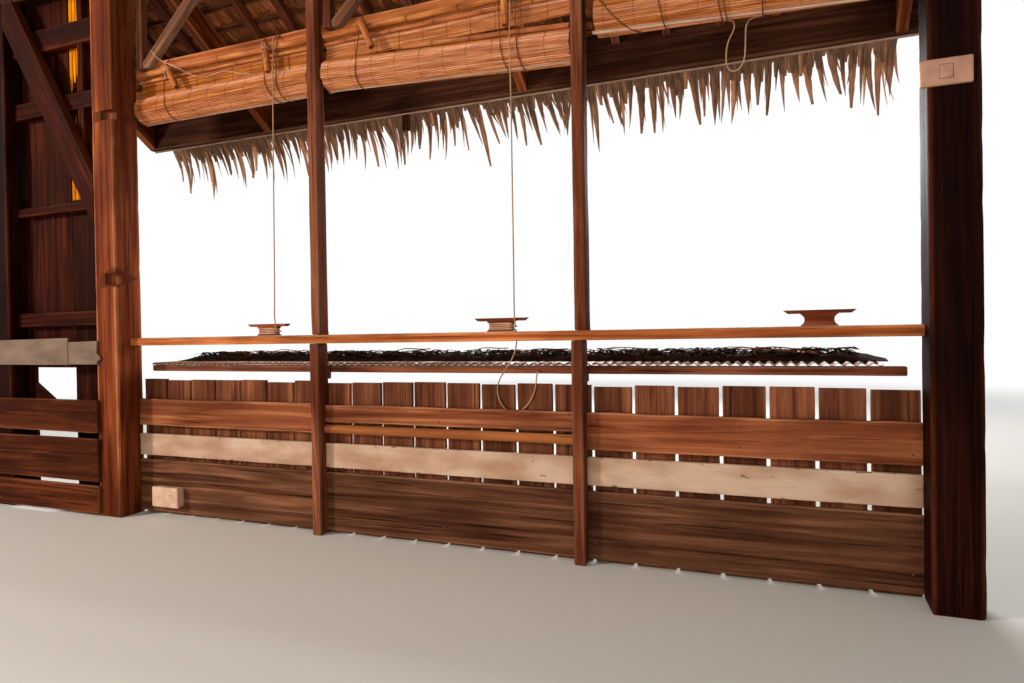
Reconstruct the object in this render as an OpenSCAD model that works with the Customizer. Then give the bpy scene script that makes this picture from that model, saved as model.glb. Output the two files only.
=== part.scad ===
// Window wall of a timber stilt house, seen with its eave, rolled blinds and braced side bay.
// X runs along the wall, Y runs outward, Z runs up. The origin is the centre of the left post's foot.

/* [Posts] */
// Centre to centre distance of the two main posts
bay_w = 3132; // [2900:1:3400]
// Centre to centre distance of the end post and the left main post
side_bay_w = 700; // [600:10:800]
// Width of a post along the wall
post_w = 125; // [110:1:140]
// Depth of a post across the wall
post_d = 128; // [110:2:140]
// Height of the posts, up to the underside of the wall plate
post_h = 2335; // [2250:5:2500]

/* [Window openings] */
// Height of the sill rail's underside
rail_z = 737; // [700:1:780]
// Thickness of the sill rail
rail_h = 34; // [28:1:45]
// Depth of the sill rail
rail_d = 62; // [50:1:66]
// Width of a mullion along the wall
mullion_w = 42; // [36:1:50]
// Depth of a mullion across the wall
mullion_d = 60; // [50:1:62]
// Height of the header planks' underside
header_z = 1940; // [1900:5:2000]
// Thickness of the header planks
header_h = 37; // [30:1:45]
// Depth of the header planks
header_d = 46; // [40:1:60]

/* [Blinds] */
// Diameter of a rolled blind
roll_d = 116; // [100:1:130]
// Thickness of the slat mat
mat_t = 6; // [4:1:8]
// Diameter of the bamboo head rod
head_rod_d = 27; // [22:1:30]
// Diameter of a bamboo toggle
toggle_d = 26; // [22:1:30]
// Length of a bamboo toggle
toggle_h = 112; // [90:1:125]
// Diameter of the pull cords
pull_cord_d = 5; // [4:0.5:6]
// Diameter of the slings round the rolls
sling_d = 4; // [3:0.5:5]

/* [Cleats] */
// Length of a cleat from point to point
cleat_l = 194; // [170:1:210]
// Height of a cleat
cleat_h = 46; // [40:1:52]
// Thickness of a cleat
cleat_t = 26; // [20:1:30]

/* [Roof] */
// Pitch of the roof
pitch = 34; // [30:1:38]
// Distance from the wall's centre line to the inner face of the eave fascia
eave_y = 858; // [800:1:900]
// Height of the fascia's underside
eave_z = 1891; // [1860:1:1920]
// Thickness of the fascia
fascia_t = 35; // [28:1:45]
// Depth of a main rafter, square to the slope
rafter_d = 120; // [100:1:130]
// Width of a main rafter
rafter_w = 44; // [38:1:50]
// Side of a small common rafter
small_rafter = 38; // [32:1:42]
// Spacing of the common rafters
small_rafter_pitch = 217; // [200:1:320]
// Thickness of the thatch, square to the slope
thatch_t = 62; // [50:1:80]

/* [Low wall] */
// Thickness of the horizontal planks
plank_t = 18; // [14:1:18]
// Height of the top plank's upper edge
top_plank_z = 505; // [480:1:520]
// Pitch of the corrugated sheet's waves
wave_pitch = 76; // [70:1:84]

/* [Hidden] */

// Colours of the weathered timbers and the bamboo
wood_red = [0.42, 0.17, 0.09];
wood_brown = [0.36, 0.2, 0.11];
wood_dark = [0.2, 0.12, 0.08];
wood_orange = [0.62, 0.32, 0.12];
bamboo = [0.82, 0.55, 0.24];
cord_tan = [0.72, 0.58, 0.46];
paint_white = [0.86, 0.82, 0.74];

// Levels and faces that several pieces share
post_face = post_w / 2;
inner_face = -post_d / 2;
outer_face = post_d / 2;
rail_top = rail_z + rail_h;
header_top = header_z + header_h;
header_y = 64;
mullion_y = 22;
mullion_x = [1031, 2091];
stud_x = [1037, 2084];
stud_w = 39;
stud_d = 69;
slope = tan(pitch);
rise = 1 / cos(pitch);

// The three window lights, each as its left and right clear edge
light_left = [post_face, mullion_x[0] + mullion_w / 2, mullion_x[1] + mullion_w / 2];
light_right = [mullion_x[0] - mullion_w / 2, mullion_x[1] - mullion_w / 2, bay_w - post_face];

// Blinds: side gaps, the plane of the mat, and the height of each roll's axis at both ends
gap_left = [18, 18, 35];
gap_right = [4, 4, 34];
mat_y = 72;
roll_y = 86;
roll_z_left = [1774, 1780, 1802];
roll_z_right = [1774, 1726, 1768];
head_rod_y = mat_y - head_rod_d / 2;
head_rod_z = header_z - head_rod_d / 2;
edge_rod_d = 14;
edge_rod_z = 1896;
// Each blind has two toggles, which lean on its head rod, a sling beside the left one, and two
// slings round the right one
toggle_y = head_rod_y - head_rod_d / 2 - toggle_d / 2;
toggle_x = [[304, 812], [1281, 1838], [2316, 2606]];
toggle_tilt = [[30, 6], [24, 2], [18, 6]];
toggle_mid_z = [[1879, 1875], [1886, 1873], [1900, 1900]];
sling_x = [[254, 788, 862], [1232, 1816, 1878], [2358, 2545, 2664]];

function blind_left(i) = light_left[i] + gap_left[i];
function blind_right(i) = light_right[i] - gap_right[i];
function roll_z(i, x) = roll_z_left[i] + (roll_z_right[i] - roll_z_left[i])
    * (x - blind_left(i)) / (blind_right(i) - blind_left(i));

// Roof: height of the plane that lies a distance d above the main rafters' underside
function roof_z(y, d = 0) = eave_z + (eave_y - y) * slope + d * rise;
roof_in_y = -150;
main_rafter_x = [-775, 90, 1590, bay_w + 11];
plate_left = -800;
plate_right = bay_w + post_face;
plate_w = 90;
plate_top = 2455;
batten_h = 18;
batten_w = 30;
thatch_base = rafter_d + small_rafter + batten_h;
roof_left = -840;
roof_right = bay_w + 100;
eave_out_y = eave_y + fascia_t;

// A box between two limits on each axis
module span_box(x, y, z) {
    translate([x[0], y[0], z[0]]) cube([x[1] - x[0], y[1] - y[0], z[1] - z[0]]);
}

// A profile drawn in Y and Z, extruded along X from x0 to x1
module profile_along_x(x0, x1) {
    translate([x0, 0, 0]) rotate([90, 0, 90]) linear_extrude(x1 - x0) children();
}

// A profile drawn in X and Z, extruded along Y from y0 to y1
module profile_along_y(y0, y1) {
    translate([0, y1, 0]) rotate([90, 0, 0]) linear_extrude(y1 - y0) children();
}

// A round bar along X
module bar_along_x(x0, x1, y, z, d) {
    translate([x0, y, z]) rotate([0, 90, 0]) cylinder(d = d, h = x1 - x0, $fn = 48);
}

// A repeatable irregular value between 0 and 1 for step i
function jitter(i) = let (v = sin(i * 7423.7 + 11) * 4375.85) v - floor(v);

// Posts
module post(x) {
    span_box([x - post_face, x + post_face], [inner_face, outer_face], [0, post_h]);
}

// The left post keeps two old mortises cut through its inner right corner
mortise_x = [-4, 3];
mortise_z = [1707, 1000];
mortise_h = [41, 50];
mortise_d = [26, 32];

module left_post() {
    color(wood_brown) difference() {
        post(0);
        for (i = [0, 1])
            span_box([mortise_x[i], post_face + 1], [inner_face - 1, inner_face + mortise_d[i]],
                [mortise_z[i], mortise_z[i] + mortise_h[i]]);
    }
}

module right_post() {
    color(wood_dark) post(bay_w);
}

module end_post() {
    color(wood_dark) post(-side_bay_w);
}

module wall_plate() {
    color(wood_dark)
        span_box([plate_left, plate_right], [-plate_w / 2, plate_w / 2], [post_h, plate_top]);
}

// Window frame
module sill_rail() {
    color(wood_orange)
        span_box([post_face, bay_w - post_face], [0, rail_d], [rail_z, rail_top]);
}

// Each mullion is notched over the back edge of the sill rail
module mullions() {
    color(wood_red) for (x = mullion_x) difference() {
        span_box([x - mullion_w / 2, x + mullion_w / 2], [mullion_y, mullion_y + mullion_d],
            [rail_z, post_h]);
        span_box([x - mullion_w, x + mullion_w], [0, rail_d], [rail_z - 1, rail_top]);
    }
}

module lower_studs() {
    color(wood_red) for (x = stud_x)
        span_box([x - stud_w / 2, x + stud_w / 2], [0, stud_d], [0, rail_z]);
}

module header_planks() {
    color(wood_orange) for (i = [0:2])
        span_box([light_left[i], light_right[i]], [header_y, header_y + header_d],
            [header_z, header_top]);
}

// A slim stud is lapped on each header plank's face near its left end, and a brace rises from the
// stud's foot to the plate
head_stud_in = 38;
head_stud_w = 34;
head_stud_d = 36;
stud_foot_z = header_z + 2;
brace_w = 38;
brace_t = 30;
brace_angle = 43;
brace_out = 12;
brace_foot_z = header_z + 5;

module head_studs() {
    color(wood_red) for (x = light_left)
        span_box([x + head_stud_in, x + head_stud_in + head_stud_w],
            [header_y - head_stud_d, header_y], [stud_foot_z, post_h]);
}

// x is the face of the stud; the brace's upper edge passes brace_out beside it at the header's top
module head_brace(x) {
    run = (post_h - header_top) / tan(brace_angle);
    drop = (header_top - brace_foot_z) / tan(brace_angle);
    width = brace_w / sin(brace_angle);
    upper = x + brace_out;
    profile_along_y(header_y - brace_t, header_y)
        polygon([[x, brace_foot_z], [upper + width - drop, brace_foot_z],
            [upper + width + run, post_h], [upper + run, post_h],
            [x, header_top - brace_out * tan(brace_angle)]]);
}

module head_braces() {
    color(wood_orange) for (x = light_left) head_brace(x + head_stud_in + head_stud_w);
}

// Blinds
// Spiral groove that shows the turns of the mat at each end of a roll
turns = 4;
turn_gap = 2.4;
steps_per_turn = 16;
groove_depth = 14;
roll_core_r = 12;
spiral_steps = turns * steps_per_turn;
function spiral_r(i) = roll_core_r + (roll_d / 2 - mat_t - roll_core_r) * i / spiral_steps;
spiral_start = -40;
function spiral_point(i, r) = let (a = spiral_start - i * 360 / steps_per_turn) [r * cos(a), r * sin(a)];

module roll_groove() {
    polygon(concat(
        [for (i = [0:spiral_steps]) spiral_point(i, spiral_r(i) - turn_gap / 2)],
        [for (i = [spiral_steps:-1:0]) spiral_point(i, spiral_r(i) + turn_gap / 2)]
    ));
}

module roll(x0, x1, z0, z1) {
    length = norm([x1 - x0, z1 - z0]);
    translate([x0, roll_y, z0]) rotate([0, -atan2(z1 - z0, x1 - x0), 0]) rotate([90, 0, 90])
        difference() {
            cylinder(d = roll_d, h = length, $fn = 96);
            for (end = [-1, length - groove_depth])
                translate([0, 0, end]) linear_extrude(groove_depth + 1) roll_groove();
        }
}

module blind(i) {
    x0 = blind_left(i);
    x1 = blind_right(i);
    drop = roll_d / 2 - 12;
    color(bamboo) union() {
        roll(x0, x1, roll_z_left[i], roll_z_right[i]);
        profile_along_y(mat_y, mat_y + mat_t)
            polygon([[x0, roll_z_left[i] + drop], [x1 - 3, roll_z_right[i] + drop],
                [x1 - 3, header_z], [x0, header_z]]);
    }
}

module left_blind() {
    blind(0);
}

module middle_blind() {
    blind(1);
}

module right_blind() {
    blind(2);
}

// Bamboo rods in front of each mat: the head rod, a thin rod under it, and one loose stick
stick_d = 20;
stick_x = [1419, 2058];

// The stick lies in the corner between the middle blind's roll and its mat
module loose_stick() {
    y = mat_y - stick_d / 2;
    up = sqrt(pow((roll_d + stick_d) / 2, 2) - pow(roll_y - y, 2)) + 1;
    z = roll_z(1, stick_x[0]) + up;
    fall = roll_z(1, stick_x[1]) + up - z;
    translate([stick_x[0], y, z]) rotate([0, -atan2(fall, stick_x[1] - stick_x[0]), 0])
        bar_along_x(0, stick_x[1] - stick_x[0], 0, 0, stick_d);
}

module blind_rods() {
    color(bamboo) {
        for (i = [0:2]) {
            bar_along_x(blind_left(i), blind_right(i), head_rod_y, head_rod_z, head_rod_d);
            bar_along_x(blind_left(i), blind_right(i), mat_y - edge_rod_d / 2, edge_rod_z,
                edge_rod_d);
        }
        loose_stick();
    }
}

// A toggle is a short bamboo tube with a swollen joint, which leans on the head rod
module toggle(x, z, tilt) {
    translate([x, toggle_y, z]) rotate([0, -tilt, 0]) difference() {
        union() {
            translate([0, 0, -toggle_h / 2]) cylinder(d = toggle_d, h = toggle_h, $fn = 40);
            translate([0, 0, -toggle_h / 4]) cylinder(d = toggle_d + 3, h = 4, $fn = 40);
        }
        translate([0, 0, -toggle_h / 2 - 1]) cylinder(d = toggle_d - 9, h = toggle_h + 2, $fn = 40);
    }
}

module blind_toggles() {
    color(bamboo) for (i = [0:2], k = [0:1])
        toggle(toggle_x[i][k], toggle_mid_z[i][k], toggle_tilt[i][k]);
}

// A sling is a closed loop of cord: round the roll, before the head rod and over the header plank
sling_steps = 28;
sling_gap = 0.5;
// Angles at which the loop leaves the roll, in front and behind
sling_arc = [174, 369];

function sling_outline(zc, grow) = let (
    r = roll_d / 2 + sling_gap + grow,
    rod_r = head_rod_d / 2 + sling_gap + grow
) concat(
    [for (k = [0:sling_steps]) let (a = sling_arc[0] + (sling_arc[1] - sling_arc[0]) * k / sling_steps)
        [roll_y + r * cos(a), zc + r * sin(a)]],
    [[header_y + header_d + sling_gap + grow, header_top + sling_gap + grow],
        [header_y - sling_gap - grow, header_top + sling_gap + grow]],
    [for (a = [140:20:200]) [head_rod_y + rod_r * cos(a), head_rod_z + rod_r * sin(a)]]
);

module sling(i, x) {
    zc = roll_z(i, x);
    profile_along_x(x - sling_d / 2, x + sling_d / 2) difference() {
        polygon(sling_outline(zc, sling_d));
        polygon(sling_outline(zc, 0));
    }
}

module blind_slings() {
    color(cord_tan) for (i = [0:2], x = sling_x[i]) sling(i, x);
}

// Cleats: a horned bar on a waisted foot, cut to the outline of a boat cleat
cleat_x = [817, 1816, 2808];
cleat_foot = 50;
cleat_neck = 39;
cleat_neck_r = 17;
cleat_bar_h = 10;

module cleat_outline() {
    half = cleat_l / 2;
    bar_z = cleat_h - cleat_bar_h;
    difference() {
        polygon([[-cleat_foot, 0], [cleat_foot, 0], [cleat_foot, bar_z], [half - 13, bar_z],
            [half, cleat_h], [-half, cleat_h], [13 - half, bar_z], [-cleat_foot, bar_z]]);
        for (side = [-1, 1])
            translate([side * (cleat_neck + cleat_neck_r), bar_z / 2])
                circle(r = cleat_neck_r, $fn = 48);
    }
}

module cleats() {
    color(wood_red) for (x = cleat_x)
        translate([x, 0, rail_top]) profile_along_y(0, cleat_t) cleat_outline();
}

// Cords: a tube swept along its own points, with the ring's axes carried along without twist
function unit(v) = v / norm(v);
function tangent(p, i) = unit(p[min(i + 1, len(p) - 1)] - p[max(i - 1, 0)]);
function square_to(v, t) = unit(v - (v * t) * t);
function side_axes(p, start) = [for (i = 0, s = square_to(start, tangent(p, 0)); i < len(p);
    i = i + 1, s = square_to(s, tangent(p, min(i, len(p) - 1)))) s];

module cord(points, d, sides = 8, start = [1, 0.2, 0.1]) {
    axes = side_axes(points, start);
    rings = [for (i = [0:len(points) - 1]) let (t = tangent(points, i), s = axes[i], c = cross(t, s))
        for (k = [0:sides - 1])
            points[i] + d / 2 * (s * cos(360 * k / sides) + c * sin(360 * k / sides))];
    last = (len(points) - 1) * sides;
    faces = concat(
        [[for (k = [0:sides - 1]) k]],
        [for (i = [0:len(points) - 2], k = [0:sides - 1]) let (a = i * sides + k,
            b = i * sides + (k + 1) % sides) [a, a + sides, b + sides, b]],
        [[for (k = [sides - 1:-1:0]) last + k]]
    );
    color(cord_tan) polyhedron(points = rings, faces = faces, convexity = 8);
}

// Route of the left pull cord: from the header plank down beside its toggle and before the roll,
// round the cleat's neck, and its tail lies on the sill rail behind the cleat
left_cord_points = [
    [845, 64, 1966], [845, 56, 1966], [845, 44, 1958], [846, 36, 1946], [846, 34, 1932],
    [847, 33, 1900], [847, 30, 1850], [848, 25, 1810], [849, 23, 1785], [850, 22, 1750],
    [850, 21, 1690], [851, 18, 1577], [853, 13, 1400], [855, 8, 1200], [857, 3, 1010],
    [859, -2, 900], [861, -6, 850], [865, -7, 818], [869, -5, 800], [872, 3, 790], [872, 13, 788],
    [866, 25, 788], [857, 31, 788], [840, 32, 788], [800, 31, 789], [774, 32, 786], [754, 37, 779],
    [748, 46, 774], [766, 53, 773.6], [800, 55, 773.6], [840, 54, 773.6]
];
// Route of the middle pull cord: the same way down, and its tail hangs behind the sill rail in
// a bight that is caught up on the ledger
middle_cord_points = [
    [1858, 64, 1966], [1858, 56, 1966], [1858, 44, 1958], [1858, 36, 1946], [1858, 34, 1932],
    [1858, 33, 1900], [1858, 30, 1850], [1858, 26, 1810], [1858, 23, 1780], [1858, 22, 1740],
    [1859, 21, 1680], [1862, 18, 1550], [1864, 13, 1390], [1866, 8, 1200], [1868, 3, 1010],
    [1870, -3, 890], [1871, -6, 845], [1872, -7, 818], [1872, -5, 800], [1872, 3, 790],
    [1871, 13, 788], [1866, 25, 788], [1857, 32, 787], [1849, 40, 784], [1847, 50, 780],
    [1848, 58, 777], [1849, 63.5, 775.5], [1850, 66.4, 769], [1850, 66, 740], [1846, 65, 710],
    [1834, 65, 680], [1812, 65, 645], [1788, 65, 610], [1776, 65, 580], [1776, 65, 550],
    [1788, 64, 520], [1808, 64, 498], [1836, 64, 488], [1864, 64, 496], [1890, 64, 520],
    [1908, 65, 550], [1917, 65, 580], [1920, 66, 598], [1921, 71, 618], [1922, 79, 632],
    [1922, 87, 632]
];
// Route of the right pull cord: a slack bight behind the roll, tucked into two of its slings
right_cord_points = [
    [2547, 124, 1739.7], [2554, 124, 1739.5], [2567, 124, 1737], [2577, 124, 1729],
    [2579, 123, 1715], [2574, 121, 1698], [2564, 119, 1678], [2557, 118, 1656], [2554, 118, 1632],
    [2554, 118, 1606], [2559, 118, 1588], [2568, 118, 1577], [2580, 118, 1575], [2593, 118, 1581],
    [2603, 118, 1595], [2609, 118, 1616], [2611, 118, 1642], [2612, 119, 1672], [2613, 121, 1700],
    [2617, 123, 1719], [2626, 124, 1730], [2640, 124, 1734.5], [2654, 124, 1735.3],
    [2662, 124, 1735.3]
];
// Route of the loose string: tied to the brace's foot, before the toggle and along the blind's mat
string_points = [
    [196, 34, 2008], [196, 26, 2008], [208, 18, 1999], [230, 15, 1977], [257, 14, 1954],
    [300, 14, 1932], [338, 16, 1914], [366, 27, 1898], [392, 44, 1882], [420, 56, 1873],
    [458, 66, 1867], [505, 69, 1873], [556, 69.5, 1877], [598, 69.5, 1868], [638, 69.5, 1856],
    [694, 69.5, 1843], [724, 69.5, 1837]
];
string_d = 4;

module left_pull_cord() {
    cord(left_cord_points, pull_cord_d);
}

module middle_pull_cord() {
    cord(middle_cord_points, pull_cord_d);
}

module right_pull_cord() {
    cord(right_cord_points, pull_cord_d);
}

module loose_string() {
    cord(string_points, string_d);
}

// Roof
// Outline of a member that lies between two distances above the rafters' underside
module roof_profile(y0, y1, low, high) {
    polygon([[y0, roof_z(y0, low)], [y1, roof_z(y1, low)], [y1, roof_z(y1, high)],
        [y0, roof_z(y0, high)]]);
}

// Each main rafter is seated on the wall plate with a notch and cut plumb at the fascia
module main_rafters() {
    color(wood_brown) for (x = main_rafter_x) difference() {
        profile_along_x(x - rafter_w / 2, x + rafter_w / 2)
            roof_profile(roof_in_y, eave_y, 0, rafter_d);
        span_box([x - rafter_w, x + rafter_w], [-plate_w / 2, plate_w / 2], [post_h, plate_top]);
    }
}

// The common rafters share each space between two main rafters evenly
small_rafter_x = [for (i = [0:len(main_rafter_x) - 2])
    let (a = main_rafter_x[i], gap = main_rafter_x[i + 1] - a, n = round(gap / small_rafter_pitch))
    for (k = [1:n - 1]) a + gap * k / n];

module common_rafters() {
    color(wood_red) for (x = small_rafter_x)
        profile_along_x(x - small_rafter / 2, x + small_rafter / 2)
            roof_profile(roof_in_y, eave_y, rafter_d, rafter_d + small_rafter);
}

batten_y = [for (y = [-100:232:840]) y];

module roof_battens() {
    color(wood_dark) for (y = batten_y) profile_along_x(roof_left + 20, roof_right - 20)
        roof_profile(y, y + batten_w, rafter_d + small_rafter, thatch_base);
}

// The thatch lies in courses, so its upper face steps down like shingles
course_count = 5;
course_lip = 16;
thatch_out_y = eave_out_y + 40;

function course_y(k) = roof_in_y + (thatch_out_y - roof_in_y) * k / course_count;

module roof_thatch() {
    color(wood_brown) profile_along_x(roof_left, roof_right) polygon(concat(
        [[thatch_out_y, roof_z(thatch_out_y, thatch_base)], [roof_in_y, roof_z(roof_in_y, thatch_base)]],
        [for (k = [0:course_count - 1], end = [0, 1])
            [course_y(k + end), roof_z(course_y(k + end), thatch_base + thatch_t - course_lip * (1 - end))]]
    ));
}

// The fascia's top is bevelled to the slope and carries the thatch, and the stub of an old bracket
// hangs from its outer face
bracket_x = [912, 956];
bracket_z = [1806, 2000];
bracket_t = 22;

module eave_fascia() {
    color(wood_dark) {
        profile_along_x(plate_left, plate_right + 20)
            polygon([[eave_y, eave_z], [eave_out_y, eave_z], [eave_out_y, roof_z(eave_out_y, thatch_base)],
                [eave_y, roof_z(eave_y, thatch_base)]]);
        span_box(bracket_x, [eave_out_y, eave_out_y + bracket_t], bracket_z);
    }
}

// Leaf tips hang from the thatch's edge: a layer that bends down and then hangs straight, cut to a
// row of uneven points
fringe_pitch = 47;
fringe_t = 14;
fringe_bend_r = 430;
fringe_bend = [34, 92];
fringe_steps = 5;
fringe_seat = 4;
fringe_count = floor((roof_right - roof_left) / fringe_pitch);
fringe_top_z = roof_z(thatch_out_y, thatch_base) + fringe_seat;
fringe_tail = 80;
tip_drop = 285;
tip_vary = 95;
root_drop = 160;
root_vary = 50;
// One tip in long_tip_every hangs lower than the others
long_tip_every = 13;
long_tip_extra = 60;

function bend_point(a, r) = [thatch_out_y, fringe_top_z] + r * [sin(a), cos(a)]
    - fringe_bend_r * [sin(fringe_bend[0]), cos(fringe_bend[0])];
function bend_end(r) = bend_point(fringe_bend[1], r) - [0, fringe_tail];
function bend_angle(k) = fringe_bend[0] + (fringe_bend[1] - fringe_bend[0]) * k / fringe_steps;
function tip_z(k) = fringe_top_z - tip_drop - tip_vary * pow(jitter(k + 200), 1.5)
    - (k % long_tip_every == 5 ? long_tip_extra : 0);
function root_z(k) = fringe_top_z - root_drop - root_vary * jitter(k);

// The space below the row of points
module under_tips() {
    low = fringe_top_z - 2 * fringe_bend_r;
    right = fringe_count * fringe_pitch;
    polygon(concat(
        [for (k = [0:fringe_count - 1], tip = [0, 1])
            [roof_left + (k + 0.08 + tip * 0.46) * fringe_pitch, tip == 0 ? root_z(k) : tip_z(k)]],
        [[roof_left + right, root_z(fringe_count)], [roof_left + right, low], [roof_left - 1, low],
            [roof_left - 1, root_z(0)]]
    ));
}

module eave_fringe() {
    color(wood_brown) difference() {
        profile_along_x(roof_left, roof_left + fringe_count * fringe_pitch) polygon(concat(
            [[thatch_out_y, fringe_top_z]],
            [for (k = [1:fringe_steps]) bend_point(bend_angle(k), fringe_bend_r)],
            [bend_end(fringe_bend_r), bend_end(fringe_bend_r + fringe_t)],
            [for (k = [fringe_steps:-1:1]) bend_point(bend_angle(k), fringe_bend_r + fringe_t)],
            [[thatch_out_y, fringe_top_z + fringe_t * rise]]
        ));
        profile_along_y(thatch_out_y - 1, thatch_out_y + fringe_bend_r) under_tips();
    }
}

// Low wall
plank_y = 40;
plank_edges = [post_face, stud_x[0] - stud_w / 2, stud_x[0] + stud_w / 2, stud_x[1] - stud_w / 2,
    stud_x[1] + stud_w / 2, bay_w - post_face];
function plank_x(i) = [plank_edges[2 * i], plank_edges[2 * i + 1]];

top_plank_low = [385, 430, 372];
// The right plank keeps the wany edge of its log, and the middle one is split and rough
wane_steps = 24;

module top_plank(i, wane) {
    x = plank_x(i);
    profile_along_y(plank_y, plank_y + plank_t) polygon(concat(
        [[x[1], top_plank_low[i]], [x[0], top_plank_low[i]]],
        [for (k = [0:wane_steps]) [x[0] + (x[1] - x[0]) * k / wane_steps,
            top_plank_z - wane * (0.5 + 0.5 * sin(k * 47 + 60 * sin(k * 31)))]]
    ));
}

module top_planks() {
    color(wood_brown) {
        top_plank(0, 0);
        top_plank(1, 7);
        top_plank(2, 12);
    }
}

module white_band() {
    color(paint_white) for (i = [0:2])
        span_box(plank_x(i), [plank_y, plank_y + plank_t], [255, 352]);
}

module bottom_planks() {
    color(wood_dark) for (i = [0:2])
        span_box(plank_x(i), [plank_y, plank_y + plank_t], [12, 240]);
}

// A peeled pole lies below the middle top plank, against the outer boards
pole_d = 37;

module lower_pole() {
    color(wood_orange) bar_along_x(plank_x(1)[0], plank_x(1)[1], stud_d - pole_d / 2, 405, pole_d);
}

// Vertical boards close the outer face below the open slot
board_w = 128;
board_gap = 9;
board_t = 18;
outer_board_top = 589;

// Two rows of flat nailing strips behind the planks tie the boards together
nailer_z = [[290, 325], [445, 480]];

module outer_boards() {
    color(wood_brown) union() {
        for (x = [66:board_w + board_gap:bay_w - board_w])
            span_box([x, x + board_w], [stud_d, stud_d + board_t], [0, outer_board_top]);
        for (i = [0:2], z = nailer_z)
            span_box(plank_x(i) + [4, -4], [plank_y + plank_t, stud_d], z);
    }
}

// The ledger stands off the lower studs on two blocks
ledger_z = 622;
ledger_h = 29;
ledger_d = 40;
ledger_x = [92, bay_w - 92];

module ledger() {
    color(wood_red) union() {
        span_box(ledger_x, [stud_d + board_t, stud_d + board_t + ledger_d],
            [ledger_z, ledger_z + ledger_h]);
        for (x = stud_x)
            span_box([x - stud_w / 2, x + stud_w / 2], [stud_d, stud_d + board_t],
                [ledger_z - 24, ledger_z + ledger_h]);
    }
}

// The sheet lies on the ledger and reaches out past it
wave_h = 18;
sheet_t = 2;
sheet_y = [82, 400];
wave_steps = 8;
wave_count = floor((ledger_x[1] - ledger_x[0]) / wave_pitch);

function wave_z(k) = wave_h / 2 * (1 - cos(360 * k / wave_steps));

module corrugated_sheet() {
    steps = wave_count * wave_steps;
    step = wave_pitch / wave_steps;
    color([0.6, 0.58, 0.55]) translate([ledger_x[0], 0, ledger_z + ledger_h])
        profile_along_y(sheet_y[0], sheet_y[1]) polygon(concat(
            [for (k = [0:steps]) [k * step, wave_z(k)]],
            [for (k = [steps:-1:0]) [k * step, wave_z(k) + sheet_t]]
        ));
}

// A ridge of old leaves lies along the sheet, on the crests of its waves
crest_z = ledger_z + ledger_h + wave_h + sheet_t;
ridge_y = [196, 392];
ridge_h = 30;
ridge_steps = 10;

module ridge_thatch() {
    color(wood_dark) profile_along_x(ledger_x[0] + 4, ledger_x[1] - 24) polygon(concat(
        [[ridge_y[0], crest_z], [ridge_y[1], crest_z]],
        [for (k = [ridge_steps - 1:-1:1]) [ridge_y[0] + (ridge_y[1] - ridge_y[0]) * k / ridge_steps,
            crest_z + ridge_h * sqrt(sin(180 * k / ridge_steps))]]
    ));
}

// Electrical fittings
switch_size = [120, 70];
switch_x = bay_w - 20;
switch_z = 1424;
switch_t = 9;
rocker = [30, 36];

// A rectangle of the given size round the switch's centre, between two depths
module switch_block(size, y) {
    span_box([switch_x - size[0] / 2, switch_x + size[0] / 2], y,
        [switch_z - size[1] / 2, switch_z + size[1] / 2]);
}

module switch_plate() {
    color(paint_white) {
        difference() {
            switch_block(switch_size, [inner_face - switch_t, inner_face]);
            switch_block(rocker + [3, 3], [inner_face - switch_t - 1, inner_face - 5]);
        }
        switch_block(rocker, [inner_face - switch_t - 2, inner_face - 5]);
    }
}

socket_x = [172, 318];
socket_z = [44, 130];
socket_d = 38;

module socket_box() {
    color(paint_white) span_box(socket_x, [plank_y - socket_d, plank_y], socket_z);
}

// Side bay
side_left = -side_bay_w + post_face;
side_right = -post_face;
side_board_y = 22;
side_board_t = 18;
// Edges of the three boards: a narrow one with a slit along the end post, and two wide ones
side_board_x = [[side_left, -593], [-588, -319], [-313, side_right]];
side_board_low = [0, 640, 0];
side_board_high = [post_h, post_h, 1404];
slit_w = 13;
slit_z = [1447, 1805];

module side_board(k) {
    span_box(side_board_x[k], [side_board_y, side_board_y + side_board_t],
        [side_board_low[k], side_board_high[k]]);
}

module side_slit_board() {
    color(wood_red) difference() {
        side_board(0);
        span_box([side_left - 1, side_left + slit_w],
            [side_board_y - 1, side_board_y + side_board_t + 1], slit_z);
    }
}

module side_boards() {
    color(wood_red) {
        side_board(1);
        side_board(2);
        // What is left of a broken board slants down from the narrow one
        profile_along_y(side_board_y, side_board_y + side_board_t)
            polygon([[side_board_x[0][1], 567], [-476, 496], [-430, 430], [side_board_x[0][1], 430]]);
    }
}

// The lowest rail is a deep one, which the painted strips are nailed to
side_rail_z = [[657, 757], [830, 896], [1345, 1385], [1798, 1874], [2090, 2193]];
side_rail_y = side_board_y - 44;
side_stud_x = [-204, -170];

module side_rails() {
    color(wood_red) for (k = [0:len(side_rail_z) - 1])
        span_box([side_left, side_right], [k == 0 ? inner_face : side_rail_y, side_board_y],
            side_rail_z[k]);
}

// Short studs carry on the line of the light panel's edge, between the rails and up to the plate
side_stud_z = [
    [side_rail_z[2][1], side_rail_z[3][0]], [side_rail_z[3][1], side_rail_z[4][0]],
    [side_rail_z[4][1], post_h]
];

module side_studs() {
    color(wood_red) for (z = side_stud_z)
        span_box(side_stud_x, [side_rail_y, side_board_y], z);
}

// The brace crosses the bay against the rails, from the end post's head to the left post
side_brace_w = 110;
side_brace_angle = 59;
side_brace_low = 1262;

module side_brace() {
    drop = (side_right - side_left) * tan(side_brace_angle);
    high = side_brace_low + side_brace_w / cos(side_brace_angle);
    head_x = side_right - (post_h - high) / tan(side_brace_angle);
    color(wood_red) profile_along_y(inner_face, side_rail_y)
        polygon([[side_right, side_brace_low], [side_right, high], [head_x, post_h],
            [side_left, post_h], [side_left, side_brace_low + drop]]);
}

// Two planks and a base board are nailed over the posts' faces
side_plank_z = [[360, 506], [148, 338], [10, 134]];

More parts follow.
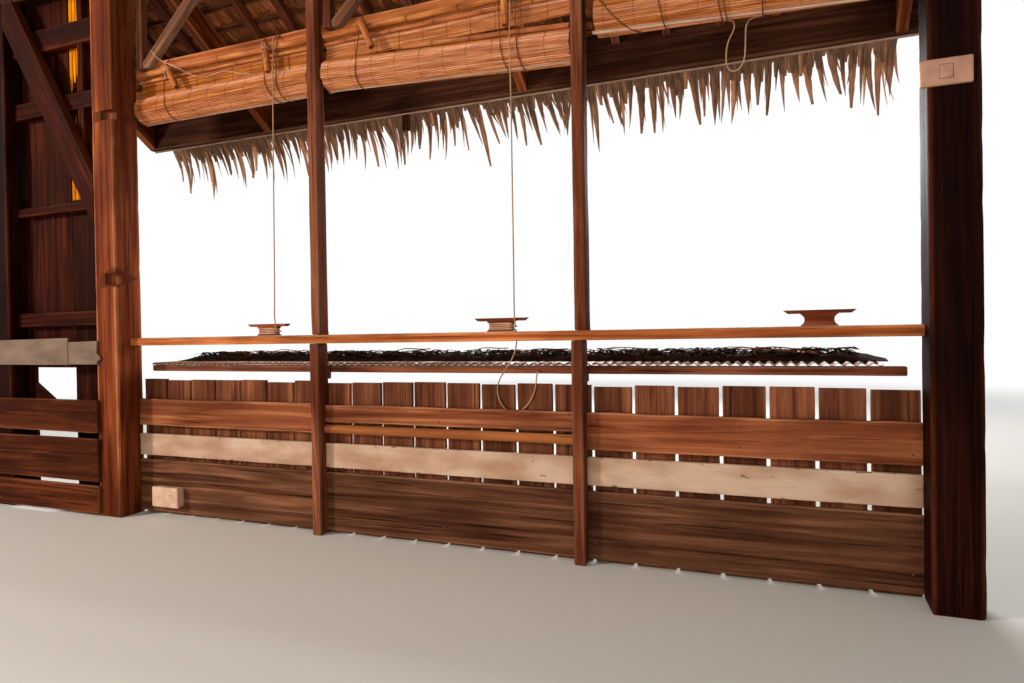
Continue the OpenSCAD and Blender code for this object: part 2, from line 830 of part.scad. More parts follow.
module side_planks() {
    color(wood_brown) for (z = side_plank_z)
        span_box([-side_bay_w - post_face, -46], [inner_face - 18, inner_face], z);
}

// Two painted strips are nailed over the posts' faces, and the right one ends in a torn point
strip_z = 657;
strip_h = 119;
strip_joint = -228;

module side_white_strips() {
    color(paint_white) profile_along_y(inner_face - 10, inner_face) {
        polygon([[-side_bay_w - post_face, strip_z], [strip_joint - 2, strip_z],
            [strip_joint - 2, strip_z + strip_h], [-side_bay_w - post_face, strip_z + strip_h - 6]]);
        polygon([[strip_joint + 2, strip_z + 2], [-48, strip_z + 2], [-46, strip_z + 14],
            [-26, strip_z + 26], [-30, strip_z + 38], [-48, strip_z + 50], [-46, strip_z + 104],
            [strip_joint + 2, strip_z + 100]]);
    }
}

// A pane of split bamboo closes the top of the bay beside the post
module side_light_panel() {
    color(bamboo) span_box([side_board_x[2][0], side_right], [side_board_y, side_board_y + 8],
        [side_board_high[2], post_h]);
}

left_post();
right_post();
end_post();
wall_plate();
sill_rail();
mullions();
lower_studs();
header_planks();
head_studs();
head_braces();
left_blind();
middle_blind();
right_blind();
blind_rods();
blind_toggles();
blind_slings();
cleats();
left_pull_cord();
middle_pull_cord();
right_pull_cord();
loose_string();
main_rafters();
common_rafters();
roof_battens();
roof_thatch();
eave_fascia();
eave_fringe();
top_planks();
white_band();
bottom_planks();
lower_pole();
outer_boards();
ledger();
corrugated_sheet();
ridge_thatch();
switch_plate();
socket_box();
side_boards();
side_slit_board();
side_rails();
side_studs();
side_brace();
side_planks();
side_white_strips();
side_light_panel();
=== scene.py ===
"""Window wall of a timber stilt house: eave, rolled bamboo blinds, open window bay and side bay."""
import bmesh
import bpy
import math
import random
from mathutils import Matrix, Vector, noise


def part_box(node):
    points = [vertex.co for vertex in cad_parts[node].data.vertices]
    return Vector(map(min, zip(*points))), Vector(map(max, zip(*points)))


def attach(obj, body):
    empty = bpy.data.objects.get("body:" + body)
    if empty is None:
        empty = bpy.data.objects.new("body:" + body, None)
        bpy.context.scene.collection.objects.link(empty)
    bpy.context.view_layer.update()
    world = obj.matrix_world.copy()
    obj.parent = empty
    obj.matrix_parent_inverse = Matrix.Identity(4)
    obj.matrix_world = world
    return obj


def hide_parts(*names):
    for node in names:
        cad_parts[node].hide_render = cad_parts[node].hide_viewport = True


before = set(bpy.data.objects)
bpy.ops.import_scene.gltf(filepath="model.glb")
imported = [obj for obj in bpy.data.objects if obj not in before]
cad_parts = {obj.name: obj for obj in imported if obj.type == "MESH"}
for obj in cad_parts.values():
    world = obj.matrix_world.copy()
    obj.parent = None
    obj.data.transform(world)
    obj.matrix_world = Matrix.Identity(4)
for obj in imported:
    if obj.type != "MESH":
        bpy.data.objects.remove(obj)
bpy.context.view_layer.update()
scene = bpy.context.scene
draw = random.Random(27)

MM = 0.001
X_AXIS = Vector((1, 0, 0))
Y_AXIS = Vector((0, 1, 0))
Z_AXIS = Vector((0, 0, 1))

# Places that several pieces share, in metres, as the frame has them
LEFT_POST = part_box("left_post")
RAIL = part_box("sill_rail")
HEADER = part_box("header_planks")
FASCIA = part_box("eave_fascia")
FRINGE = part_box("eave_fringe")
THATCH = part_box("roof_thatch")

# The camera stands inside the room, a little right of the middle, and looks out to the left
CAMERA_PLACE = Vector((2.720, -2.142, 0.760))
CAMERA_LEFT = math.radians(21.9)
CAMERA_DOWN = math.radians(0.587)
CAMERA_ROLL = math.radians(0.917)
CAMERA_LENS = 24.01

# Blinds: the ends of each, the height of its roll's axis at both ends, and its rods
BLIND_LEFT = [0.0805, 1.070, 2.147]
BLIND_RIGHT = [1.006, 2.066, 3.0355]
ROLL_Z_LEFT = [1.774, 1.780, 1.802]
ROLL_Z_RIGHT = [1.774, 1.726, 1.768]
ROLL_Y = 0.086
ROLL_R = 0.058
MAT_Y = 0.075
SLAT_PITCH = 0.0068
HEAD_ROD_Y = 0.0585
HEAD_ROD_Z = 1.9265
HEAD_ROD_R = 0.0135
EDGE_ROD_Y = 0.065
EDGE_ROD_Z = 1.896
EDGE_ROD_R = 0.007

# Roof: its slope, the eave's corner, and the levels of its layers square to the slope
PITCH = math.radians(34)
EAVE_Y = 0.858
EAVE_Z = 1.891
FASCIA_T = 0.035
RAFTER_D = 0.120
SMALL_RAFTER = 0.038
BATTEN_H = 0.018
THATCH_BASE = RAFTER_D + SMALL_RAFTER + BATTEN_H


def srgb(red, green, blue):
    """A linear colour from its red, green and blue as seen on a screen, each 0 to 255."""
    linear = [((c / 255 + 0.055) / 1.055) ** 2.4 if c > 10 else c / 3295 for c in (red, green, blue)]
    return tuple(linear) + (1,)


def linear_tones(*colours):
    """Linear colours from colours given as red, green and blue on a screen."""
    return [srgb(*colour) for colour in colours]


def darker(colour, share):
    """A share of a colour's light."""
    return tuple(c * share for c in colour[:3]) + (1,)


# Faces of a block whose eight points are four round one end and then four round the other
BLOCK_FACES = [(0, 1, 2, 3), (7, 6, 5, 4), (0, 4, 5, 1), (1, 5, 6, 2), (2, 6, 7, 3), (3, 7, 4, 0)]


def lerp(a, b, t):
    """The value t of the way from a to b."""
    return a + (b - a) * t


def clamp(value, low=0.0, high=1.0):
    """The value, kept between low and high."""
    return max(low, min(high, value))


def roof_z(y, d=0.0):
    """Height at y of the plane that lies d above the main rafters' underside."""
    return EAVE_Z + (EAVE_Y - y) * math.tan(PITCH) + d / math.cos(PITCH)


def roll_z(i, x):
    """Height of blind i's roll axis at x."""
    t = (x - BLIND_LEFT[i]) / (BLIND_RIGHT[i] - BLIND_LEFT[i])
    return lerp(ROLL_Z_LEFT[i], ROLL_Z_RIGHT[i], t)


# Camera and light

def make_camera():
    """The photograph's view: turned left, a little down, and rolled a little."""
    turn, down, roll = CAMERA_LEFT, CAMERA_DOWN, CAMERA_ROLL
    ahead = Vector((-math.sin(turn) * math.cos(down), math.cos(turn) * math.cos(down), -math.sin(down)))
    level = Vector((math.cos(turn), math.sin(turn), 0))
    upright = level.cross(ahead)
    right = math.cos(roll) * level - math.sin(roll) * upright
    up = math.sin(roll) * level + math.cos(roll) * upright
    data = bpy.data.cameras.new("camera")
    data.lens = CAMERA_LENS
    data.sensor_width = 36
    camera = bpy.data.objects.new("camera", data)
    scene.collection.objects.link(camera)
    turned = Matrix((right, up, -ahead)).transposed().to_4x4()
    camera.matrix_world = Matrix.Translation(CAMERA_PLACE) @ turned
    scene.camera = camera


def area_light(name, place, target, size, power, colour=(1, 1, 1)):
    """A rectangular lamp at place that faces target."""
    data = bpy.data.lights.new(name, "AREA")
    data.shape = "RECTANGLE"
    data.size, data.size_y = size
    data.energy = power
    data.color = colour
    lamp = bpy.data.objects.new(name, data)
    scene.collection.objects.link(lamp)
    lamp.location = place
    lamp.rotation_euler = (Vector(target) - Vector(place)).to_track_quat("-Z", "Y").to_euler()


def make_lights():
    """A warm key from the room's left, fills from the room, its floor and outside, and a soft world."""
    area_light("key", (-3.2, -4.2, 2.7), (1.3, 0.1, 1.4), (0.6, 0.6), 290, (1.0, 0.88, 0.74))
    area_light("room_fill", (3.4, -4.4, 2.6), (1.2, 0.2, 1.0), (3.0, 2.0), 26, (1.0, 0.94, 0.86))
    area_light("floor_glow", (1.6, -2.8, 0.35), (1.3, 0.5, 2.1), (2.8, 1.0), 38, (1.0, 0.84, 0.66))
    area_light("outside", (1.2, 5.0, 3.2), (1.2, 0.2, 1.2), (4.0, 2.5), 330, (1.0, 0.98, 0.95))
    area_light("sky", (1.2, 0.6, 6.0), (1.2, 0.4, 1.5), (5.0, 3.0), 40, (1.0, 0.98, 0.95))
    world = bpy.data.worlds.new("world")
    scene.world = world
    world.use_nodes = True
    nodes, links = world.node_tree.nodes, world.node_tree.links
    soft = nodes["Background"]
    soft.inputs["Color"].default_value = (1.0, 0.97, 0.93, 1)
    soft.inputs["Strength"].default_value = 0.2
    white = nodes.new("ShaderNodeBackground")
    white.inputs["Color"].default_value = (1, 1, 1, 1)
    white.inputs["Strength"].default_value = 1
    path = nodes.new("ShaderNodeLightPath")
    choose = nodes.new("ShaderNodeMixShader")
    seen = path.outputs["Is Camera Ray"]
    for ray in ("Is Glossy Ray", "Is Transmission Ray"):
        either = nodes.new("ShaderNodeMath")
        either.operation = "MAXIMUM"
        links.new(seen, either.inputs[0])
        links.new(path.outputs[ray], either.inputs[1])
        seen = either.outputs[0]
    links.new(seen, choose.inputs[0])
    links.new(soft.outputs[0], choose.inputs[1])
    links.new(white.outputs[0], choose.inputs[2])
    links.new(choose.outputs[0], nodes["World Output"].inputs["Surface"])


def make_floor():
    """A pale floor that fades to the white background away from the wall."""
    bpy.ops.mesh.primitive_circle_add(vertices=64, radius=40, fill_type="NGON",
                                      location=(1.2, 0.4, -0.0005))
    floor = bpy.context.object
    floor.name = "floor"
    kit = Shader("pale_floor")
    kit.shader.inputs["Base Color"].default_value = srgb(222, 220, 216)
    kit.shader.inputs["Roughness"].default_value = 0.8
    distance = kit.node("ShaderNodeVectorMath", operation="LENGTH")
    kit.link(kit.node("ShaderNodeTexCoord").outputs["Object"], distance.inputs[0])
    fade = kit.ramp(distance.outputs["Value"], (3.0, 0), (9.0, 1))
    white = kit.node("ShaderNodeEmission")
    white.inputs["Color"].default_value = (1, 1, 1, 1)
    white.inputs["Strength"].default_value = 1
    mixed = kit.node("ShaderNodeMixShader")
    seen = kit.node("ShaderNodeLightPath").outputs["Is Camera Ray"]
    kit.link(kit.math("MULTIPLY", fade, seen), mixed.inputs[0])
    kit.link(kit.shader.outputs[0], mixed.inputs[1])
    kit.link(white.outputs[0], mixed.inputs[2])
    kit.link(mixed.outputs[0], kit.output.inputs["Surface"])
    floor.data.materials.append(kit.material)


# Materials

class Shader:
    """A node material under construction, with short calls for the nodes used here."""

    def __init__(self, name):
        self.material = bpy.data.materials.new(name)
        self.material.use_nodes = True
        self.tree = self.material.node_tree
        self.shader = self.tree.nodes["Principled BSDF"]
        self.output = self.tree.nodes["Material Output"]

    def node(self, kind, **settings):
        """A new node of the given kind with its settings."""
        node = self.tree.nodes.new(kind)
        for key, value in settings.items():
            setattr(node, key, value)
        return node

    def link(self, source, target):
        self.tree.links.new(source, target)

    def attribute(self, name, output="Fac"):
        """A value that the mesh carries at each point."""
        return self.node("ShaderNodeAttribute", attribute_name=name).outputs[output]

    def stretched(self, vector, scale):
        """A vector with its three parts multiplied by those of scale."""
        node = self.node("ShaderNodeVectorMath", operation="MULTIPLY")
        self.link(vector, node.inputs[0])
        node.inputs[1].default_value = scale
        return node.outputs[0]

    def noise(self, vector, scale, detail=3.0, distortion=0.0):
        """Noise with its own scale along each of the vector's three parts."""
        node = self.node("ShaderNodeTexNoise")
        node.inputs["Scale"].default_value = 1
        node.inputs["Detail"].default_value = detail
        node.inputs["Distortion"].default_value = distortion
        self.link(self.stretched(vector, scale), node.inputs["Vector"])
        return node.outputs["Fac"]

    def math(self, operation, first, second):
        """A sum, product or the like of two values, each a number or an output."""
        node = self.node("ShaderNodeMath", operation=operation)
        for socket, value in zip(node.inputs, (first, second)):
            if isinstance(value, (int, float)):
                socket.default_value = value
            else:
                self.link(value, socket)
        return node.outputs[0]

    def add(self, first, share, second, other_share):
        """The sum of two values, each taken by its share."""
        return self.math("ADD", self.math("MULTIPLY", first, share),
                         self.math("MULTIPLY", second, other_share))

    def shade(self, colour, value, saturation=None):
        """A colour with its brightness multiplied by value, and its saturation where that is given."""
        node = self.node("ShaderNodeHueSaturation")
        self.link(colour, node.inputs["Color"])
        self.link(value, node.inputs["Value"])
        if saturation is not None:
            self.link(saturation, node.inputs["Saturation"])
        return node.outputs["Color"]

    def ramp(self, value, start, end):
        """Maps value so that start[0] gives start[1] and end[0] gives end[1], held beyond both."""
        node = self.node("ShaderNodeMapRange")
        node.inputs["From Min"].default_value, node.inputs["To Min"].default_value = start
        node.inputs["From Max"].default_value, node.inputs["To Max"].default_value = end
        self.link(value, node.inputs["Value"])
        return node.outputs["Result"]

    def colours(self, value, *stops):
        """A colour ramp from (place, colour) pairs."""
        node = self.node("ShaderNodeValToRGB")
        ramp = node.color_ramp
        while len(ramp.elements) < len(stops):
            ramp.elements.new(0.5)
        for element, (place, colour) in zip(ramp.elements, stops):
            element.position = place
            element.color = colour
        self.link(value, node.inputs["Fac"])
        return node.outputs["Color"]

    def mix(self, amount, first, second, blend="MIX"):
        """The first colour with the second laid over it by an amount."""
        node = self.node("ShaderNodeMix", data_type="RGBA", blend_type=blend)
        sockets = [s for s in node.inputs if s.enabled]
        for socket, value in zip(sockets, (amount, first, second)):
            if isinstance(value, (int, float, tuple)):
                socket.default_value = value
            else:
                self.link(value, socket)
        return next(s for s in node.outputs if s.enabled)

    def bump(self, height, distance, strength=1.0):
        """Lets a height from 0 to 1 roughen the surface by a distance in metres."""
        node = self.node("ShaderNodeBump")
        node.inputs["Distance"].default_value = distance
        node.inputs["Strength"].default_value = strength
        self.link(height, node.inputs["Height"])
        self.link(node.outputs[0], self.shader.inputs["Normal"])

    def surface(self, colour, roughness, shine=0.5):
        """Sets the colour, roughness and shine, and gives the finished material."""
        self.link(colour, self.shader.inputs["Base Color"])
        self.shader.inputs["Specular IOR Level"].default_value = shine
        if isinstance(roughness, float):
            self.shader.inputs["Roughness"].default_value = roughness
        else:
            self.link(roughness, self.shader.inputs["Roughness"])
        return self.material


def grain_vector(kit, built=True):
    """The grain frame of a built piece, or the X, Y and Z of a CAD piece, whose grain runs along X."""
    if built:
        return kit.attribute("grain", "Vector")
    return kit.node("ShaderNodeTexCoord").outputs["Object"]


def wood(name, dark, middle, light, worn, roughness, dirt, built=True):
    """Old timber: growth rings, fibres, cracks, stains and worn edges, in the grain frame."""
    dark, middle, light, worn = linear_tones(dark, middle, light, worn)
    kit = Shader(name)
    grain = grain_vector(kit, built)
    figure = kit.noise(grain, (0.9, 24, 24), 4, 1.6)
    fibre = kit.noise(grain, (9, 620, 620), 3)
    stain = kit.noise(grain, (2.2, 8, 8), 4)
    crack = kit.noise(grain, (2.6, 150, 150), 2)
    pore = kit.noise(grain, (40, 900, 900), 2)
    body = kit.add(figure, 0.72, fibre, 0.28)
    colour = kit.colours(body, (0.34, dark), (0.5, middle), (0.66, light))
    if built:
        tint = kit.ramp(kit.attribute("tint"), (0, 0.66), (1, 1.25))
    else:
        tint = kit.ramp(stain, (0.3, 0.8), (0.7, 1.1))
    stained = kit.ramp(stain, (0.42, dirt), (0.6, 0))
    colour = kit.mix(stained, kit.shade(colour, tint), darker(dark, 0.52))
    split = kit.ramp(crack, (0.30, 1), (0.345, 0))
    colour = kit.mix(kit.math("MULTIPLY", split, 0.8), colour, darker(dark, 0.2))
    rub = kit.math("MULTIPLY", kit.attribute("wear"), kit.ramp(stain, (0.4, 0.15), (0.62, 1)))
    colour = kit.mix(kit.math("MULTIPLY", rub, kit.ramp(fibre, (0.4, 0.4), (0.6, 1))), colour, worn)
    ridges = kit.add(fibre, 0.5, pore, 0.3)
    kit.bump(kit.math("SUBTRACT", ridges, kit.math("MULTIPLY", split, 1.2)), 0.0016, 0.7)
    return kit.surface(colour, kit.ramp(body, (0.3, roughness - 0.08), (0.7, roughness + 0.12)), 0.02)


def bamboo(name, dark, middle, light, roughness=0.38, fade=(1.1, 0.9)):
    """Split or whole bamboo: satin skin with fine streaks along it; each slat has its own tint.

    fade gives the saturation of the slats with the lowest and the highest tint.
    """
    dark, middle, light = linear_tones(dark, middle, light)
    kit = Shader(name)
    grain = grain_vector(kit)
    streak = kit.noise(grain, (5, 700, 700), 3)
    blotch = kit.noise(grain, (7, 40, 40), 3)
    fleck = kit.noise(grain, (60, 500, 500), 2)
    colour = kit.colours(kit.add(streak, 0.45, blotch, 0.55), (0.36, dark), (0.5, middle), (0.64, light))
    tint = kit.attribute("tint")
    faded = kit.ramp(tint, (0, fade[0]), (1, fade[1]))
    colour = kit.shade(colour, kit.ramp(tint, (0, 0.6), (1, 1.3)), faded)
    # Darker where the wear value is set: at the joints, inside the bores, at the ends and along each
    # slat's edges.
    dark_joints_bores_edges = kit.math("MULTIPLY", kit.attribute("wear"), 0.75)
    colour = kit.mix(dark_joints_bores_edges, colour, darker(dark, 0.32))
    colour = kit.mix(kit.ramp(fleck, (0.3, 0.5), (0.36, 0)), colour, darker(dark, 0.45))
    kit.bump(kit.add(streak, 0.6, fleck, 0.4), 0.0008, 0.5)
    return kit.surface(colour, kit.ramp(blotch, (0.35, roughness), (0.65, roughness + 0.16)), 0.05)


def leaf(name, dark, middle, light, grey):
    """Dry palm leaf: ribs along it, a tint of its own, grey where weathered, and light through it."""
    dark, middle, light, grey = linear_tones(dark, middle, light, grey)
    kit = Shader(name)
    grain = grain_vector(kit)
    rib = kit.noise(grain, (4, 300, 300), 3)
    blotch = kit.noise(grain, (14, 60, 60), 4)
    colour = kit.colours(kit.add(rib, 0.5, blotch, 0.5), (0.34, dark), (0.5, middle), (0.66, light))
    fresh = kit.shade(colour, kit.ramp(kit.attribute("tint"), (0, 0.45), (1, 1.3)))
    weather = kit.math("MULTIPLY", kit.attribute("wear"), kit.ramp(blotch, (0.35, 0.6), (0.55, 1)))
    faded = kit.mix(0.65, kit.mix(1.0, fresh, grey, "MULTIPLY"), grey)
    colour = kit.mix(weather, fresh, faded)
    kit.bump(kit.math("ADD", rib, kit.math("MULTIPLY", blotch, 0.3)), 0.0015, 0.8)
    through = kit.node("ShaderNodeBsdfTranslucent")
    kit.link(colour, through.inputs["Color"])
    blend = kit.node("ShaderNodeMixShader")
    blend.inputs[0].default_value = 0.55
    kit.link(kit.shader.outputs[0], blend.inputs[1])
    kit.link(through.outputs[0], blend.inputs[2])
    kit.link(blend.outputs[0], kit.output.inputs["Surface"])
    return kit.surface(colour, 0.72, 0.1)


def rope_material(name, dark, light):
    """Twisted fibre with fine hairs, darker in the lay between its strands."""
    dark, light = linear_tones(dark, light)
    kit = Shader(name)
    place = kit.node("ShaderNodeTexCoord").outputs["Object"]
    hair = kit.noise(place, (900, 900, 900), 3)
    soil = kit.noise(place, (18, 18, 18), 3)
    colour = kit.colours(kit.add(hair, 0.5, soil, 0.5), (0.35, dark), (0.65, light))
    colour = kit.mix(kit.math("MULTIPLY", kit.attribute("wear"), 0.7), colour, darker(dark, 0.3))
    kit.bump(hair, 0.0006, 0.8)
    return kit.surface(colour, 0.85, 0.2)


def old_paint(name, pale, yellowed, bare, built=True):
    """White paint on rough boards, yellowed, soiled and chipped through to the wood."""
    pale, yellowed, bare = linear_tones(pale, yellowed, bare)
    kit = Shader(name)
    grain = grain_vector(kit, built)
    soil = kit.noise(grain, (5, 12, 12), 4)
    fibre = kit.noise(grain, (8, 420, 420), 3)
    flake = kit.noise(grain, (28, 60, 60), 5, 0.6)
    colour = kit.colours(soil, (0.35, yellowed), (0.62, pale))
    colour = kit.mix(kit.ramp(fibre, (0.32, 0.35), (0.5, 0)), colour, yellowed)
    worn = kit.math("MULTIPLY", kit.attribute("wear"), 0.1)
    chipped = kit.ramp(kit.math("ADD", flake, worn), (0.70, 0), (0.76, 0.8))
    colour = kit.mix(chipped, colour, bare)
    kit.bump(kit.math("SUBTRACT", kit.math("MULTIPLY", fibre, 0.4), chipped), 0.0009, 0.8)
    return kit.surface(colour, 0.6, 0.2)


def old_sheet(name):
    """Weathered zinc: dull grey with brown rust along the valleys, the edges and the nails."""
    kit = Shader(name)
    place = kit.node("ShaderNodeTexCoord").outputs["Object"]
    broad = kit.noise(place, (3, 5, 5), 5)
    spangle = kit.noise(place, (60, 60, 60), 2)
    run = kit.noise(place, (55, 3, 12), 4)
    rust = kit.ramp(kit.add(broad, 0.6, run, 0.5), (0.50, 0), (0.62, 1))
    edge = kit.math("MULTIPLY", kit.attribute("wear"), kit.ramp(broad, (0.3, 0.5), (0.6, 1)))
    rust = kit.math("MAXIMUM", rust, edge)
    zinc = kit.colours(spangle, (0.3, srgb(148, 106, 82)), (0.7, srgb(192, 150, 122)))
    brown = kit.colours(run, (0.3, srgb(88, 52, 36)), (0.7, srgb(156, 104, 76)))
    kit.bump(kit.math("MULTIPLY", rust, run), 0.0012, 0.6)
    kit.link(kit.ramp(rust, (0, 0.3), (0.6, 0)), kit.shader.inputs["Metallic"])
    return kit.surface(kit.mix(rust, zinc, brown), kit.ramp(rust, (0, 0.45), (1, 0.85)))


def plastic(name, colour, aged):
    """Moulded plastic that has yellowed unevenly, with fine scratches."""
    colour, aged = linear_tones(colour, aged)
    kit = Shader(name)
    place = kit.node("ShaderNodeTexCoord").outputs["Object"]
    cloud = kit.noise(place, (22, 22, 22), 4)
    scratch = kit.noise(place, (180, 180, 1400), 2)
    tone = kit.colours(cloud, (0.35, aged), (0.65, colour))
    # Darker round the back rim, where the fitting meets the wall or the plate.
    back_rim_dark = kit.math("MULTIPLY", kit.attribute("wear"), 0.55)
    tone = kit.mix(back_rim_dark, tone, darker(aged, 0.3))
    kit.bump(scratch, 0.0002, 0.4)
    return kit.surface(tone, kit.ramp(cloud, (0.3, 0.3), (0.7, 0.42)))


def iron(name):
    """Rusted nail heads."""
    kit = Shader(name)
    place = kit.node("ShaderNodeTexCoord").outputs["Object"]
    pit = kit.noise(place, (700, 700, 700), 3)
    colour = kit.colours(pit, (0.35, srgb(38, 24, 18)), (0.65, srgb(96, 62, 44)))
    kit.bump(pit, 0.0005, 0.8)
    return kit.surface(colour, 0.7)


# Building pieces

class Builder:
    """Collects the faces of one joined piece; each point has a grain place, a tint and a wear value."""

    def __init__(self):
        self.points, self.faces = [], []
        self.grain, self.tint, self.wear = [], [], []

    def add(self, points, faces, grain=None, tint=0.5, wear=0.0):
        """Adds a body; its tint and wear are one value each or a list with one for each point."""
        base = len(self.points)
        self.points += [Vector(p) for p in points]
        self.faces += [[base + i for i in face] for face in faces]
        self.grain += [Vector(g) for g in (grain or points)]
        self.tint += tint if isinstance(tint, list) else [tint] * len(points)
        self.wear += wear if isinstance(wear, list) else [wear] * len(points)

    def piece(self, name, material, slot, nodes=(), sharp=40, thick=0.0):
        """Makes the piece, which stands for the named CAD nodes; thick gives open faces a thickness."""
        mesh = bpy.data.meshes.new(name)
        mesh.from_pydata(self.points, [], self.faces)
        mesh.attributes.new("grain", "FLOAT_VECTOR", "POINT").data.foreach_set(
            "vector", [c for g in self.grain for c in g])
        mesh.attributes.new("tint", "FLOAT", "POINT").data.foreach_set("value", self.tint)
        mesh.attributes.new("wear", "FLOAT", "POINT").data.foreach_set("value", self.wear)
        mesh.materials.append(material)
        mesh.polygons.foreach_set("use_smooth", [True] * len(mesh.polygons))
        mesh.set_sharp_from_angle(angle=math.radians(sharp))
        obj = bpy.data.objects.new(name, mesh)
        scene.collection.objects.link(obj)
        if thick:
            shell = obj.modifiers.new("thickness", "SOLIDIFY")
            shell.thickness = thick
            shell.offset = 0
        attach(obj, "root")
        if nodes:
            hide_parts(*nodes)
        return obj


def tube_faces(rings, sides, closed=False, caps=True):
    """Faces of a tube whose points come ring by ring."""
    faces = []
    spans = rings if closed else rings - 1
    for j in range(spans):
        low, high = j * sides, (j + 1) % rings * sides
        for k in range(sides):
            n = (k + 1) % sides
            faces.append((low + k, low + n, high + n, high + k))
    if caps and not closed:
        faces.append(tuple(reversed(range(sides))))
        faces.append(tuple(range((rings - 1) * sides, rings * sides)))
    return faces


def rounded_section(width, depth, corner):
    """Points (u, v, wear) round a rectangle with rounded corners; only the corners are worn."""
    points = []
    inset = min(0.009, width / 4, depth / 4)
    for side_u, side_v, first in ((1, 1, 0), (-1, 1, 90), (-1, -1, 180), (1, -1, 270)):
        centre_u, centre_v = side_u * (width / 2 - corner), side_v * (depth / 2 - corner)
        arc = []
        for step in (0, 45, 90):
            angle = math.radians(first + step)
            arc.append((centre_u + corner * math.cos(angle), centre_v + corner * math.sin(angle), 1.0))
        before = (arc[0][0], arc[0][1] - side_v * inset, 0.0)
        after = (arc[2][0] - side_u * inset, arc[2][1], 0.0)
        if first in (90, 270):
            before = (arc[0][0] - side_u * inset, arc[0][1], 0.0)
            after = (arc[2][0], arc[2][1] - side_v * inset, 0.0)
        points += [before] + arc + [after]
    return points


class Timber:
    """A length of sawn timber with rounded, worn edges and a slightly uneven surface.

    It runs from start to end; across is the direction of its width. shear_start and shear_end slant its
    ends over the width, and trim(side, s) takes some of the width away at -1, the low edge, or 1.
    """

    def __init__(self, start, end, across, width, depth, corner=0.004, rough=0.0012, step=0.07,
                 shear=(0, 0), trim=None):
        self.start, self.end = Vector(start), Vector(end)
        self.across = Vector(across).normalized()
        self.width, self.depth = width, depth
        self.corner = min(corner, width / 3, depth / 3)
        self.rough, self.step, self.shear, self.trim = rough, step, shear, trim

    def add_to(self, builder, tint=None):
        """Adds the timber to a piece, with a tint of its own if none is given."""
        axis = self.end - self.start
        length = axis.length
        axis.normalize()
        third = axis.cross(self.across)
        section = rounded_section(self.width, self.depth, self.corner)
        steps = max(2, round(length / self.step))
        inset = min(self.corner, length / 4)
        stations = [0.0] + [lerp(inset, length - inset, j / steps) for j in range(steps + 1)] + [length]
        seed = Vector((draw.uniform(0, 40), draw.uniform(0, 3), draw.uniform(0, 3)))
        own_tint = draw.random() if tint is None else tint
        points, grain, wear = [], [], []
        for j, s in enumerate(stations):
            end_ring = j in (0, len(stations) - 1)
            for u, v, worn in section:
                place = Vector((s * 4, u * 14, v * 14)) + seed
                dent = self.rough * (0.5 + 0.5 * noise.noise(place))
                if worn:
                    chip = noise.noise(Vector((s * 22, u * 30, v * 30)) + seed)
                    dent += self.corner * (0.15 + 0.9 * max(0.0, chip - 0.12))
                squeeze = dent + (inset * 0.6 if end_ring else 0)
                reach = math.hypot(u, v)
                if worn:
                    new_u, new_v = u - squeeze * u / reach, v - squeeze * v / reach
                else:
                    new_u = u - math.copysign(squeeze, u) * (abs(u) >= self.width / 2 - 1e-6)
                    new_v = v - math.copysign(squeeze, v) * (abs(v) >= self.depth / 2 - 1e-6)
                if self.trim:
                    side = 1 if new_u > 0 else -1
                    new_u -= side * self.trim(side, s)
                t = s / length
                slant = lerp(self.shear[0] * new_u, self.shear[1] * new_u, t)
                points.append(self.start + axis * (s + slant) + self.across * new_u + third * new_v)
                grain.append(Vector((s, new_u, new_v)) + seed)
                wear.append(max(worn, 0.8 if end_ring else 0.0))
        builder.add(points, tube_faces(len(stations), len(section)), grain, own_tint, wear)


def box_timber(builder, low, high, axis, tint=None, **options):
    """A timber that fills the box from low to high, with its grain along axis X or Z."""
    low, high = Vector(low), Vector(high)
    middle = (low + high) / 2
    size = high - low
    along = "XYZ".index(axis)
    start, end = middle.copy(), middle.copy()
    start[along], end[along] = low[along], high[along]
    across, width = (Z_AXIS, size.z) if axis == "X" else (X_AXIS, size.x)
    Timber(start, end, across, width, size.y, **options).add_to(builder, tint)


def solids(node):
    """The lowest and highest corner of each solid of a CAD node, from left to right and upwards."""
    grid = bmesh.new()
    grid.from_mesh(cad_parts[node].data)
    bmesh.ops.remove_doubles(grid, verts=grid.verts, dist=1e-6)
    left, boxes = set(grid.verts), []
    while left:
        stack, found = [left.pop()], []
        while stack:
            point = stack.pop()
            found.append(point.co.copy())
            for edge in point.link_edges:
                other = edge.other_vert(point)
                if other in left:
                    left.remove(other)
                    stack.append(other)
        boxes.append((Vector(min(p[a] for p in found) for a in range(3)),
                      Vector(max(p[a] for p in found) for a in range(3))))
    grid.free()
    return sorted(boxes, key=lambda b: (round(b[0].x, 3), round(b[0].z, 3)))


def timber_node(node, axis, material, slot, suffix="timber", tints=None, **options):
    """Makes each solid of a CAD node a timber; tints gives the range that their tints are drawn from."""
    builder = Builder()
    for low, high in solids(node):
        tint = draw.uniform(*tints) if tints else None
        box_timber(builder, low, high, axis, tint, **options)
    return builder.piece(f"{node}_{suffix}", material, slot, [node])


